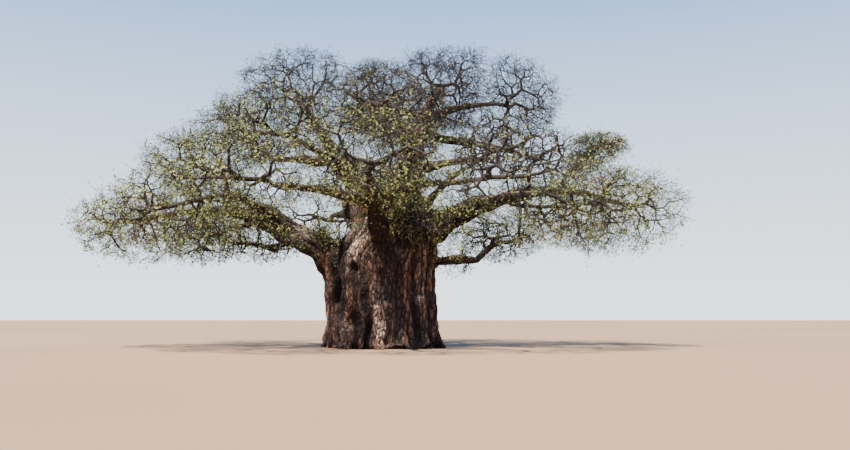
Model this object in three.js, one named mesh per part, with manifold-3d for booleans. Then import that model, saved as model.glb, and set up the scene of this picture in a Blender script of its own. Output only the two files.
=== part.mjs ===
// A large old baobab tree: a fluted trunk, tapering boughs, and masses of foliage at their tips.
// Millimetres, +Z up. The origin is on the ground under the trunk, +X is the side of the long
// right-hand bough, and the tree is seen from the front, which is -Y.
// Headings are degrees counter-clockwise from +X, seen from above, so 270 points to the front.

import * as THREE from "three";
import { mergeVertices } from "three/addons/utils/BufferGeometryUtils.js";
import Module from "manifold-3d";

const wasm = await Module();
wasm.setup();

// Gaps between neighbouring solids.
const seatGap = 0.3; // a stem stands this far from its bough's tip
const cutGap = 0.9; // a solid is grown by this before it cuts its neighbour
const sliver = 0.2; // corners nearer than this are joined
const snap = 1 / 16; // corners are rounded to this, so that thin slivers close up

// The trunk, from the flat cut at the ground up to the fork of its two leaders.
// Each row is one level: height, left edge, right edge, half depth, depth of the folds.
const trunkLevels = [
  [0, -3620, 3850, 3560, 420],
  [350, -3500, 3620, 3380, 380],
  [1000, -3430, 3440, 3220, 330],
  [2000, -3430, 3360, 3120, 310],
  [3200, -3520, 3240, 3060, 290],
  [4300, -3640, 3260, 3040, 250],
  [5200, -3560, 3320, 2980, 210],
  [6000, -2900, 3380, 2760, 170],
  [6800, -2050, 3340, 2420, 130],
  [7700, -1660, 3180, 2060, 90],
  [8500, -1700, 2800, 1700, 60],
  [8950, -1600, 2250, 1250, 40],
];
const trunkSides = 40;
// The deep folds run up the trunk at these headings, each as wide as the second number.
const trunkFolds = [
  [219, 13], [244, 6], [257, 7], [277, 6], [289, 8], [309, 8], [331, 9],
  [2, 10], [29, 8], [55, 12], [83, 8], [110, 9], [138, 12], [163, 8], [190, 9],
];

// The boughs. Each grows from the trunk, at a height, or from another bough, at a share of its
// length, and is bent from its root to its tip by the slopes that it leaves and arrives with.
// tip: heading, distance from the trunk's middle, height. wide: diameter at the root and the tip.
// turned: degrees that its flat sides are turned round it, none where it isn't given.
const boughs = [
  { name: "bough_left_great", from: "trunk", at: 3500, tip: [180, 11500, 7950],
    leave: 50, arrive: -10, wide: [2900, 400] },
  { name: "bough_left_upright", from: "bough_left_great", at: 0.8, tip: [178, 9700, 10150],
    leave: 72, arrive: 20, wide: [520, 300] },
  { name: "bough_left_under", from: "bough_left_great", at: 0.58, tip: [187, 9100, 6750],
    leave: -12, arrive: -24, wide: [480, 260] },
  { name: "bough_left_short", from: "bough_left_great", at: 0.42, tip: [196, 6250, 5650],
    leave: -48, arrive: -38, wide: [620, 400] },
  { name: "bough_left_front", from: "bough_left_great", at: 0.52, tip: [214, 9700, 8150],
    leave: 22, arrive: -4, wide: [760, 340] },
  { name: "bough_left_back", from: "bough_left_great", at: 0.46, tip: [149, 9700, 8900],
    leave: 36, arrive: 2, wide: [820, 340] },
  { name: "leader_left", from: "trunk", at: 6300, tip: [178, 3600, 12500],
    leave: 78, arrive: 54, wide: [2900, 640] },
  { name: "bough_left_shoulder", from: "leader_left", at: 0.76, tip: [188, 6700, 11000],
    leave: -4, arrive: 4, wide: [760, 320] },
  { name: "bough_left_front_upper", from: "leader_left", at: 0.6, tip: [231, 6300, 11000],
    leave: 24, arrive: 8, wide: [720, 320] },
  { name: "leader_right", from: "trunk", at: 6300, tip: [0, 3250, 15300],
    leave: 92, arrive: 60, wide: [3200, 540] },
  { name: "bough_top_centre", from: "leader_right", at: 0.8, tip: [120, 900, 14100],
    leave: 34, arrive: -12, wide: [420, 260] },
  { name: "bough_top_right", from: "leader_right", at: 0.78, tip: [0, 6600, 14500],
    leave: 30, arrive: 2, wide: [520, 280] },
  { name: "bough_right_shoulder", from: "leader_right", at: 0.68, tip: [359, 7800, 11500],
    leave: -8, arrive: -18, wide: [620, 300] },
  { name: "bough_right_inner", from: "leader_right", at: 0.44, tip: [326, 6500, 10400],
    leave: 8, arrive: -4, wide: [760, 320] },
  { name: "bough_top_back", from: "leader_right", at: 0.66, tip: [78, 4300, 13800],
    leave: 36, arrive: 16, wide: [620, 300] },
  { name: "bough_top_front", from: "leader_right", at: 0.56, tip: [276, 4700, 12000],
    leave: 26, arrive: 6, wide: [680, 300] },
  { name: "bough_right_great", from: "trunk", at: 5000, tip: [0, 12000, 9050],
    leave: 52, arrive: -8, wide: [2100, 400] },
  { name: "bough_right_upright", from: "bough_right_great", at: 0.88, tip: [0, 11700, 11100],
    leave: 86, arrive: 46, wide: [440, 260] },
  { name: "bough_right_front", from: "bough_right_great", at: 0.5, tip: [335, 10000, 8400],
    leave: 12, arrive: -8, wide: [640, 320] },
  { name: "bough_right_back", from: "bough_right_great", at: 0.45, tip: [30, 10200, 9000],
    leave: 26, arrive: 0, wide: [700, 320] },
  { name: "bough_right_dead", from: "bough_right_great", at: 0.67, tip: [356, 8000, 5650],
    leave: -74, arrive: -98, wide: [300, 110] },
  { name: "bough_right_low", from: "trunk", at: 4700, tip: [353, 5300, 5050],
    leave: 14, arrive: -2, wide: [1200, 460] },
  { name: "bough_front", from: "trunk", at: 5300, tip: [268, 8900, 8700],
    leave: 46, arrive: 4, wide: [1700, 380] },
  { name: "bough_front_right", from: "bough_front", at: 0.56, tip: [301, 9300, 8500],
    leave: 18, arrive: 0, wide: [720, 320] },
  { name: "bough_front_left", from: "bough_front", at: 0.5, tip: [240, 9400, 8200],
    leave: 16, arrive: -2, wide: [720, 320] },
  { name: "bough_back_left", from: "trunk", at: 5200, tip: [113, 10000, 8900],
    leave: 50, arrive: 2, wide: [1800, 380] },
  { name: "bough_back_upper", from: "bough_back_left", at: 0.52, tip: [106, 6500, 11400],
    leave: 70, arrive: 38, wide: [760, 320] },
  { name: "bough_back_right", from: "trunk", at: 5000, tip: [68, 9700, 9000],
    leave: 50, arrive: 2, wide: [1700, 380] },
  { name: "bough_back_right_upper", from: "bough_back_right", at: 0.54, tip: [45, 6900, 11300],
    leave: 62, arrive: 34, wide: [720, 320] },
];
const taperPower = 1.35; // a bough thins faster near its root
const boughDetail = {
  sides: [[1500, 9], [650, 7], [0, 5]], // a bough wider than the first number has the second's sides
  stepLength: 1500,
  fewestSteps: 3,
  rootShare: 1 / 3, // how far out from the trunk's middle a bough starts
  bend: 1 / 3, // how far its slopes carry, as a share of its length
  clearanceStep: 250, // spacing of the points that twigs keep clear of
};

// The masses of foliage. Each fills a rounded space of its own at its bough's tip.
// centre: heading, distance, height. half: outwards, sideways, upwards, downwards.
// bare: 0 in full leaf, 1 nothing but twigs. turned: as for a bough, of all its twigs.
const masses = [
  { name: "foliage_left_tip", on: "bough_left_great", centre: [184, 14100, 7100],
    half: [3800, 4200, 2300, 2200], bare: 0 },
  { name: "foliage_left_upper", on: "bough_left_upright", centre: [179, 11100, 10800],
    half: [3500, 3700, 2300, 1900], bare: 0.15 },
  { name: "foliage_left_under", on: "bough_left_under", centre: [188, 10500, 6500],
    half: [2700, 2700, 1600, 1800], bare: 0 },
  { name: "foliage_left_short", on: "bough_left_short", centre: [201, 7300, 5850],
    half: [2500, 2200, 1100, 1100], bare: 0 },
  { name: "foliage_left_front", on: "bough_left_front", centre: [214, 12500, 7200],
    half: [3600, 4000, 2400, 2200], bare: 0 },
  { name: "foliage_left_back", on: "bough_left_back", centre: [150, 13500, 8500],
    half: [3700, 4300, 2600, 2200], bare: 0 },
  { name: "foliage_top_left", on: "leader_left", centre: [178, 5000, 15000],
    half: [4000, 4000, 2800, 2600], bare: 0.6 },
  { name: "foliage_left_shoulder", on: "bough_left_shoulder", centre: [187, 8300, 12300],
    half: [3100, 3400, 2500, 2100], bare: 0.3 },
  { name: "foliage_left_front_upper", on: "bough_left_front_upper", centre: [233, 8700, 11500],
    half: [3400, 3800, 2200, 2000], bare: 0.2 },
  { name: "foliage_top_right", on: "leader_right", centre: [2, 3700, 15200],
    half: [4000, 3900, 2750, 2300], bare: 0.85 },
  { name: "foliage_top_centre", on: "bough_top_centre", centre: [120, 1500, 15100],
    half: [3000, 3000, 2500, 2300], bare: 0.6 },
  { name: "foliage_top_right_outer", on: "bough_top_right", centre: [0, 7500, 14300],
    half: [3200, 3800, 2900, 2400], bare: 0.8 },
  { name: "foliage_right_shoulder", on: "bough_right_shoulder", centre: [359, 9500, 11200],
    half: [2900, 3300, 1900, 1900], bare: 0.6 },
  { name: "foliage_right_inner", on: "bough_right_inner", centre: [323, 8300, 11000],
    half: [3200, 3700, 2200, 2000], bare: 0.5 },
  { name: "foliage_top_back", on: "bough_top_back", centre: [84, 6400, 14700],
    half: [3500, 4300, 2600, 2300], bare: 0.6 },
  { name: "foliage_top_front", on: "bough_top_front", centre: [272, 7300, 12300],
    half: [3300, 3800, 2200, 2000], bare: 0.4 },
  { name: "foliage_right_tip", on: "bough_right_great", centre: [0, 13800, 8300],
    half: [4300, 4100, 2400, 3000], bare: 0.1 },
  { name: "foliage_right_upper", on: "bough_right_upright", centre: [1, 12700, 10900],
    half: [2200, 3300, 1800, 1600], bare: 0.3 },
  { name: "foliage_right_front", on: "bough_right_front", centre: [334, 12400, 7600],
    half: [3500, 4100, 2400, 2400], bare: 0.1 },
  { name: "foliage_right_back", on: "bough_right_back", centre: [30, 13500, 8500],
    half: [3700, 4400, 2600, 2200], bare: 0.1 },
  { name: "foliage_right_low", on: "bough_right_low", centre: [351, 7000, 6300],
    half: [2500, 2700, 1500, 1400], bare: 0.1 },
  { name: "foliage_front", on: "bough_front", centre: [270, 11900, 8800],
    half: [3300, 4200, 2400, 2000], bare: 0.1 },
  { name: "foliage_front_right", on: "bough_front_right", centre: [302, 12300, 8500],
    half: [3400, 4200, 2400, 2100], bare: 0.1 },
  { name: "foliage_front_left", on: "bough_front_left", centre: [241, 12400, 8300],
    half: [3400, 4200, 2400, 2100], bare: 0 },
  { name: "foliage_back_left", on: "bough_back_left", centre: [113, 13300, 8900],
    half: [3700, 4900, 2600, 2200], bare: 0.1 },
  { name: "foliage_back_upper", on: "bough_back_upper", centre: [106, 9300, 12500],
    half: [3300, 4500, 2400, 2000], bare: 0.3 },
  { name: "foliage_back_right", on: "bough_back_right", centre: [69, 13300, 8900],
    half: [3700, 4900, 2600, 2200], bare: 0.1 },
  { name: "foliage_back_right_upper", on: "bough_back_right_upper", centre: [45, 9500, 12400],
    half: [3300, 4500, 2400, 2000], bare: 0.4 },
  { name: "foliage_trunk_upper", on: "trunk", root: [272, 8000], centre: [271, 3700, 9400],
    half: [1500, 2300, 1500, 1500], bare: 0 },
  { name: "foliage_trunk_right", on: "trunk", root: [318, 6500], centre: [309, 4100, 7000],
    half: [1500, 1900, 1300, 1300], bare: 0 },
];

// The rule that fills a mass.
const growth = {
  cloudSize: 512, // twig ends that a mass would have in full detail
  seedsPerMass: 65536,
  sprayEnds: 72, // ends that one large leaf stands for
  shellBias: 0.28, // under a third crowds the ends towards the outside
  shootShare: 0.04, // ends that stick out past the rest
  shootLength: 0.16, // by up to this share of the mass's half size
  forkShare: [0.4, 0.6], // how far towards its ends' middle a branch runs before it forks
  splitShare: [0.36, 0.64], // share of the ends that the first fork takes
  crook: 0.15, // sideways wander of a fork, as a share of the branch's length
  lastShare: 0.7, // how far towards its ends' middle the last twig of a branch runs
  attempts: 5, // places tried for a fork, each wandering further, before it is skipped
  tipRadius: 8, // of a twig with one end; it grows with the root of their number
  thinnest: 42, // no solid twig is thinner than this radius
  taper: 0.97, // a fork is never thicker than this share of the one before it
  borderGap: 130, // every end keeps this far inside its mass's border
  limbGap: 260, // and this far from any bough
  twigGap: 120, // a branch keeps this far from a bough
  leafGap: 60, // and a leaf this far
  stemShare: 0.96, // of its bough's tip radius that a stem has
  collarShare: 0.9, // of the stem's radius that is left after its first step
  stemReach: 1200, // a branch this near to its root may run beside the bough
  rootDepth: 0.1, // how deep in the trunk a stem that stands on it starts, as a share
  firstSeed: 101,
  triesPerLeaf: 3, // turns of a mass's twigs that are tried before one of its leaves is dropped
};
const leaf = {
  rootShare: 0.6, // how far along its branch's last twig a leaf's root is sunk
  lengths: [1, 1, 1, 0.8, 0.8, 0.6, 0.5], // shares of its length that are tried in turn
  widthShare: 0.42, // of its length
  thickness: 90,
  longest: 2600,
  bareTipShare: 0.6, // a bare twig's tip radius, as a share of its root's
};

const barkColor = 0x5b4437;
const leafColor = 0x7f8a45;
const bark = new THREE.MeshStandardMaterial({ color: barkColor, roughness: 0.9, metalness: 0 });
const foliage = new THREE.MeshStandardMaterial({ color: leafColor, roughness: 0.7, metalness: 0 });

const degree = Math.PI / 180;
const vec = (x, y, z) => new THREE.Vector3(x, y, z);
const polar = ([heading, out, height]) =>
  vec(out * Math.cos(heading * degree), out * Math.sin(heading * degree), height);

// A small seeded random number generator, so that the tree grows the same way each time.
function seededRandom(seed) {
  let state = seed >>> 0;
  return () => {
    state = (state + 0x6d2b79f5) >>> 0;
    let mixed = Math.imul(state ^ (state >>> 15), 1 | state);
    mixed = (mixed + Math.imul(mixed ^ (mixed >>> 7), 61 | mixed)) ^ mixed;
    return ((mixed ^ (mixed >>> 14)) >>> 0) / 4294967296;
  };
}

// Rings of points, all of one count, joined into one closed body with flat ends.
function loft(rings) {
  const sides = rings[0].length;
  const positions = rings.flat().flatMap((p) => [p.x, p.y, p.z]);
  const faces = [];
  for (let ring = 0; ring + 1 < rings.length; ring++) {
    for (let side = 0; side < sides; side++) {
      const next = (side + 1) % sides;
      const a = ring * sides + side;
      const b = ring * sides + next;
      faces.push(a, b, b + sides, a, b + sides, a + sides);
    }
  }
  const last = (rings.length - 1) * sides;
  for (let side = 1; side + 1 < sides; side++) {
    faces.push(0, side + 1, side);
    faces.push(last, last + side, last + side + 1);
  }
  const geometry = new THREE.BufferGeometry();
  geometry.setAttribute("position", new THREE.Float32BufferAttribute(positions, 3));
  geometry.setIndex(faces);
  return geometry;
}

// A direction square to another, and as near as can be to a third where there is one.
function squareTo(direction, near) {
  if (near) return near.clone().addScaledVector(direction, -near.dot(direction)).normalize();
  const level = Math.abs(direction.z) > 0.9 ? vec(1, 0, 0) : vec(0, 0, 1);
  return level.cross(direction).normalize();
}

// A ring round a centre, square to a direction.
function ringAround(centre, direction, across, radius, sides, turn) {
  const upward = direction.clone().cross(across).normalize();
  return Array.from({ length: sides }, (unused, side) => {
    const angle = turn + (2 * Math.PI * side) / sides;
    return centre
      .clone()
      .addScaledVector(across, radius * Math.cos(angle))
      .addScaledVector(upward, radius * Math.sin(angle));
  });
}

// A body through the stations of a path, whose rings are turned as little as they can be.
function sweep(stations, sides, turn) {
  let across = null;
  const rings = stations.map(({ point, direction, radius }) => {
    across = squareTo(direction, across);
    return ringAround(point, direction, across, radius, sides, turn);
  });
  return loft(rings);
}

function solidOf(geometry) {
  const bare = new THREE.BufferGeometry();
  bare.setAttribute("position", geometry.getAttribute("position"));
  bare.setIndex(geometry.index);
  const merged = mergeVertices(bare, 1e-3);
  return new wasm.Manifold(
    new wasm.Mesh({
      numProp: 3,
      vertProperties: new Float32Array(merged.attributes.position.array),
      triVerts: new Uint32Array(merged.index.array),
    }),
  );
}

// The same shape with every corner moved out, to cut a neighbour with a gap left between them.
function grownSolid(geometry) {
  const merged = mergeVertices(geometry.clone(), 1e-3);
  merged.computeVertexNormals();
  const position = merged.attributes.position;
  const normal = merged.attributes.normal;
  for (let i = 0; i < position.count; i++) {
    position.setXYZ(
      i,
      position.getX(i) + cutGap * normal.getX(i),
      position.getY(i) + cutGap * normal.getY(i),
      position.getZ(i) + cutGap * normal.getZ(i),
    );
  }
  return solidOf(merged);
}

const largestBody = (solid) =>
  solid.decompose().reduce((best, body) => (body.volume() > best.volume() ? body : best));

// True where every edge has just two faces, one on each side.
function isClosed(faces) {
  const edges = new Set();
  for (let i = 0; i < faces.length; i++) {
    const next = i % 3 === 2 ? i - 2 : i + 1;
    const edge = faces[i] + " " + faces[next];
    if (edges.has(edge)) return false;
    edges.add(edge);
  }
  return [...edges].every((edge) => edges.has(edge.split(" ").reverse().join(" ")));
}

// A finished solid as a mesh that stands at its root point, or null where a sliver in it
// closes up on itself once its corners are rounded.
function meshOf(solid, name, material, rootPoint) {
  const whole = largestBody(solid).simplify(sliver);
  const { numProp, numVert, vertProperties, triVerts } = whole.getMesh();
  const root = rootPoint.clone().divideScalar(snap).round().multiplyScalar(snap);
  const positions = new Float32Array(numVert * 3);
  for (let i = 0; i < numVert; i++) {
    for (let axis = 0; axis < 3; axis++) {
      const offset = vertProperties[i * numProp + axis] - root.getComponent(axis);
      positions[i * 3 + axis] = Math.round(offset / snap) * snap;
    }
  }
  const geometry = new THREE.BufferGeometry();
  geometry.setAttribute("position", new THREE.BufferAttribute(positions, 3));
  geometry.setIndex(new THREE.BufferAttribute(new Uint32Array(triVerts), 1));
  const merged = mergeVertices(geometry, snap / 4);
  const corners = merged.index.array;
  const faces = [];
  for (let i = 0; i < corners.length; i += 3) {
    const [a, b, c] = corners.slice(i, i + 3);
    if (a !== b && b !== c && c !== a) faces.push(a, b, c);
  }
  if (!isClosed(faces)) return null;
  merged.setIndex(faces);
  const mesh = new THREE.Mesh(merged, material);
  mesh.name = name;
  mesh.position.copy(root);
  return mesh;
}

// How deep the trunk is folded at a heading, from 0 to 1.
function foldDepth(heading) {
  return trunkFolds.reduce((depth, [middle, width]) => {
    const away = ((heading - middle + 540) % 360) - 180;
    return depth + Math.exp(-((away / width) ** 2));
  }, 0);
}

// The trunk's edges at any height, between the two levels around it.
function trunkLevelAt(height) {
  const upper = Math.max(1, trunkLevels.findIndex((level) => level[0] >= height));
  const [low, high] = [trunkLevels[upper - 1], trunkLevels[upper]];
  const share = THREE.MathUtils.clamp((height - low[0]) / (high[0] - low[0]), 0, 1);
  return low.map((value, i) => THREE.MathUtils.lerp(value, high[i], share));
}

function trunkMiddle(height) {
  const [, left, right] = trunkLevelAt(height);
  return vec((left + right) / 2, 0, height);
}

// A point of the trunk's surface.
function trunkPoint(heading, height) {
  const [, left, right, halfDepth, fold] = trunkLevelAt(height);
  const halfWidth = (right - left) / 2;
  const inset = 1 - (fold * foldDepth(heading)) / halfWidth;
  return trunkMiddle(height).add(
    vec(
      halfWidth * inset * Math.cos(heading * degree),
      halfDepth * inset * Math.sin(heading * degree),
      0,
    ),
  );
}

function trunkGeometry() {
  const rings = trunkLevels.map(([height]) =>
    Array.from({ length: trunkSides }, (unused, side) =>
      trunkPoint((360 * side) / trunkSides, height),
    ),
  );
  return loft(rings);
}

// A direction from a heading and a slope; a slope over 90 leans back.
const slope = (heading, rise) =>
  vec(
    Math.cos(rise * degree) * Math.cos(heading * degree),
    Math.cos(rise * degree) * Math.sin(heading * degree),
    Math.sin(rise * degree),
  );

// A bough's middle line, bent by the slopes at its root and its tip.
function boughCurve(bough, parent) {
  const tip = polar(bough.tip);
  const root = parent ? parent.curve.getPointAt(bough.at) : trunkRoot(bough.at, tip);
  const heading = Math.atan2(tip.y - root.y, tip.x - root.x) / degree;
  const pull = root.distanceTo(tip) * boughDetail.bend;
  return new THREE.CubicBezierCurve3(
    root,
    root.clone().addScaledVector(slope(heading, bough.leave), pull),
    tip.clone().addScaledVector(slope(heading, bough.arrive), -pull),
    tip,
  );
}

// A bough starts inside the trunk, part of the way out towards its own side.
function trunkRoot(height, tip) {
  const middle = trunkMiddle(height);
  const heading = Math.atan2(tip.y - middle.y, tip.x - middle.x) / degree;
  return middle.lerp(trunkPoint((heading + 360) % 360, height), boughDetail.rootShare);
}

const radiusAlong = ([rootWide, tipWide], share) =>
  (tipWide + (rootWide - tipWide) * (1 - share) ** taperPower) / 2;

// A bough's sides and steps follow its thickness and its length.
function boughGeometry(bough, curve) {
  const [, sides] = boughDetail.sides.find(([width]) => bough.wide[0] > width);
  const wanted = Math.round(curve.getLength() / boughDetail.stepLength);
  const steps = Math.max(boughDetail.fewestSteps, wanted);
  const stations = Array.from({ length: steps + 1 }, (unused, step) => ({
    point: curve.getPointAt(step / steps),
    direction: curve.getTangentAt(step / steps),
    radius: radiusAlong(bough.wide, step / steps),
  }));
  return sweep(stations, sides, (bough.turned ?? 0) * degree);
}

// Points along every bough and up the trunk, which twigs and leaves keep clear of.
function clearancePoints(limbs) {
  const points = [];
  for (const limb of limbs.values()) {
    const steps = Math.ceil(limb.curve.getLength() / boughDetail.clearanceStep);
    for (let step = 0; step <= steps; step++) {
      const share = step / steps;
      points.push({
        limb: limb.name,
        centre: limb.curve.getPointAt(share),
        radius: radiusAlong(limb.wide, share),
      });
    }
  }
  return points;
}

const insideTrunk = (point, gap) => {
  const top = trunkLevels.at(-1)[0];
  if (point.z > top + gap) return false;
  const [, left, right, halfDepth] = trunkLevelAt(Math.min(point.z, top));
  const x = (point.x - (left + right) / 2) / ((right - left) / 2 + gap);
  const y = point.y / (halfDepth + gap);
  return x * x + y * y < 1;
};

// Boughs in order, each cut clear of the trunk and of every bough made before it.
function makeBoughs(trunkShape) {
  const cutters = new Map([["trunk", grownSolid(trunkShape)]]);
  const limbs = new Map();
  const meshes = [];
  for (const bough of boughs) {
    const curve = boughCurve(bough, limbs.get(bough.from));
    const geometry = boughGeometry(bough, curve);
    const solid = [...cutters.values()].reduce(
      (rest, cutter) => rest.subtract(cutter),
      solidOf(geometry),
    );
    meshes.push(meshOf(solid, bough.name, bark, curve.getPointAt(1)));
    cutters.set(bough.name, grownSolid(geometry));
    limbs.set(bough.name, { ...bough, curve });
  }
  return { limbs, meshes, cutters };
}

// The space of a mass: its rounded form, less what is nearer to a neighbour.
function makeSpaces() {
  return masses.map((mass, index) => {
    const [outwards, sideways, upwards, downwards] = mass.half;
    const heading = mass.centre[0] * degree;
    return {
      ...mass,
      seed: growth.firstSeed + index,
      middle: polar(mass.centre),
      outward: vec(Math.cos(heading), Math.sin(heading), 0),
      sidewards: vec(-Math.sin(heading), Math.cos(heading), 0),
      size: Math.cbrt((outwards * sideways * (upwards + downwards)) / 2),
    };
  });
}

// How far a point lies inside the border with each neighbour, at the least.
function insideBorder(space, spaces, point) {
  let nearest = Infinity;
  for (const other of spaces) {
    if (other === space) continue;
    const apart = other.middle.distanceTo(space.middle);
    const away = point.distanceToSquared(other.middle) - other.size ** 2;
    const near = point.distanceToSquared(space.middle) - space.size ** 2;
    nearest = Math.min(nearest, (away - near) / (2 * apart));
  }
  return nearest;
}

const clearOfLimbs = (obstacles, point, gap, ownBough) =>
  !insideTrunk(point, gap) &&
  obstacles.every(
    ({ limb, centre, radius }) =>
      limb === ownBough || point.distanceTo(centre) > radius + gap,
  );

// The ends that the twigs of a mass grow to.
function twigEnds(space, spaces, obstacles) {
  const random = seededRandom(space.seed);
  const [outwards, sideways, upwards, downwards] = space.half;
  const ends = [];
  while (ends.length < growth.cloudSize) {
    const level = 2 * random() - 1;
    const around = 2 * Math.PI * random();
    const depth = random() ** growth.shellBias;
    const shoots = random() < growth.shootShare;
    const stretch = depth * (shoots ? 1 + growth.shootLength * random() : 1);
    const flat = Math.sqrt(1 - level * level) * stretch;
    const end = space.middle
      .clone()
      .addScaledVector(space.outward, outwards * flat * Math.cos(around))
      .addScaledVector(space.sidewards, sideways * flat * Math.sin(around));
    end.z += level * stretch * (level > 0 ? upwards : downwards);
    if (
      insideBorder(space, spaces, end) > growth.borderGap &&
      clearOfLimbs(obstacles, end, growth.limbGap)
    ) {
      ends.push(end);
    }
  }
  return { ends, random };
}

const middleOf = (points) =>
  points.reduce((sum, p) => sum.add(p), vec(0, 0, 0)).divideScalar(points.length);

// The direction in which a cloud of points is longest.
function longDirection(points, middle) {
  let direction = vec(1, 0.7, 0.4).normalize();
  for (let pass = 0; pass < 6; pass++) {
    const next = vec(0, 0, 0);
    for (const p of points) {
      const offset = p.clone().sub(middle);
      next.addScaledVector(offset, offset.dot(direction));
    }
    if (next.lengthSq() === 0) break;
    direction = next.normalize();
  }
  return direction;
}

const between = ([low, high], random) => low + (high - low) * random();

// Branches fork towards two halves of their ends, and each half forks again in its turn.
// The larger half carries the branch on, and the smaller half starts a new one. A half that is
// small enough is a spray, which one leaf stands for, at the end of the branch or on its side.
// place numbers the forks, so that each has its own seed however fine the twigs are grown.
function growTwigs(ends, path, place, space, isClear, wood) {
  const random = seededRandom(space.seed * growth.seedsPerMass + place);
  const start = path.at(-1).point;
  const middle = middleOf(ends);
  const full = growth.tipRadius * Math.sqrt(ends.length);
  const radius = Math.max(growth.thinnest, Math.min(full, path.at(-1).radius * growth.taper));
  if (ends.length <= growth.sprayEnds) {
    if (path.length > 1) {
      const end = start.clone().lerp(middle, growth.lastShare);
      path.push({ point: end, radius: growth.thinnest });
      wood.branches.push(path);
      wood.sprays.push({ root: start.clone().lerp(end, leaf.rootShare), ends });
    } else {
      wood.sprays.push({ root: start, ends });
    }
    return;
  }
  const length = start.distanceTo(middle);
  let fork = null;
  for (let attempt = 1; attempt <= growth.attempts && !fork; attempt++) {
    const place = start.clone().lerp(middle, between(growth.forkShare, random));
    const wander = growth.crook * length * attempt;
    for (const axis of ["x", "y", "z"]) place[axis] += wander * (random() - 0.5);
    if (isClear(start, place)) fork = place;
  }
  if (!fork) return;
  const long = longDirection(ends, middle);
  const sorted = [...ends].sort((a, b) => a.dot(long) - b.dot(long));
  const count = Math.round(ends.length * between(growth.splitShare, random));
  const halves = [sorted.slice(0, count), sorted.slice(count)];
  halves.sort((a, b) => b.length - a.length);
  path.push({ point: fork, radius });
  growTwigs(halves[0], path, 2 * place, space, isClear, wood);
  growTwigs(halves[1], [{ point: fork, radius }], 2 * place + 1, space, isClear, wood);
}

// A branch as a three-sided tapering sweep through its forks.
function branchGeometry(path, turn) {
  const stations = path.map(({ point, radius }, i) => {
    const before = path[Math.max(0, i - 1)].point;
    const after = path[Math.min(path.length - 1, i + 1)].point;
    return { point, direction: after.clone().sub(before).normalize(), radius };
  });
  return sweep(stations, 3, turn);
}

// A straight twig without a leaf.
const bareTwig = (root, tip, turn) =>
  branchGeometry(
    [
      { point: root, radius: growth.thinnest },
      { point: tip, radius: growth.thinnest * leaf.bareTipShare },
    ],
    turn,
  );

// A leaf is a flat blade of eight faces, pointed at both ends and widest near its middle.
function leafBlade(root, tip, roll) {
  const along = tip.clone().sub(root);
  const length = along.length();
  const direction = along.clone().normalize();
  const across = squareTo(direction, null);
  const corners = ringAround(root, direction, across, 1, 4, roll).map((p) => p.sub(root));
  const waist = root.clone().addScaledVector(along, 0.5);
  const blade = new THREE.OctahedronGeometry(1);
  const position = blade.attributes.position;
  for (let i = 0; i < position.count; i++) {
    const point = waist
      .clone()
      .addScaledVector(direction, (length / 2) * position.getY(i))
      .addScaledVector(corners[0], (length / 2) * leaf.widthShare * position.getX(i))
      .addScaledVector(corners[1], -(leaf.thickness / 2) * position.getZ(i));
    position.setXYZ(i, point.x, point.y, point.z);
  }
  blade.deleteAttribute("normal");
  blade.deleteAttribute("uv");
  return blade;
}

// A leaf, or a bare twig in its place, is rooted in its branch and reaches for the furthest of
// the ends that it stands for. It is turned, then shortened, until it keeps to its mass's space
// and off the limbs and the other leaves.
function leafOn({ root, ends }, centre, shape, random, isInside, avoided) {
  const furthest = ends.reduce((best, p) =>
    p.distanceTo(centre) > best.distanceTo(centre) ? p : best,
  );
  const along = furthest.clone().sub(root).clampLength(0, leaf.longest);
  for (const share of leaf.lengths) {
    const roll = Math.PI * random();
    const blade = shape(root, root.clone().addScaledVector(along, share), roll);
    const position = blade.attributes.position;
    const corners = Array.from({ length: position.count }, (unused, i) =>
      vec().fromBufferAttribute(position, i),
    );
    if (!corners.every(isInside)) continue;
    const solid = solidOf(blade);
    if (avoided.every((other) => other.intersect(solid).isEmpty())) return solid;
  }
  return null;
}

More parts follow.
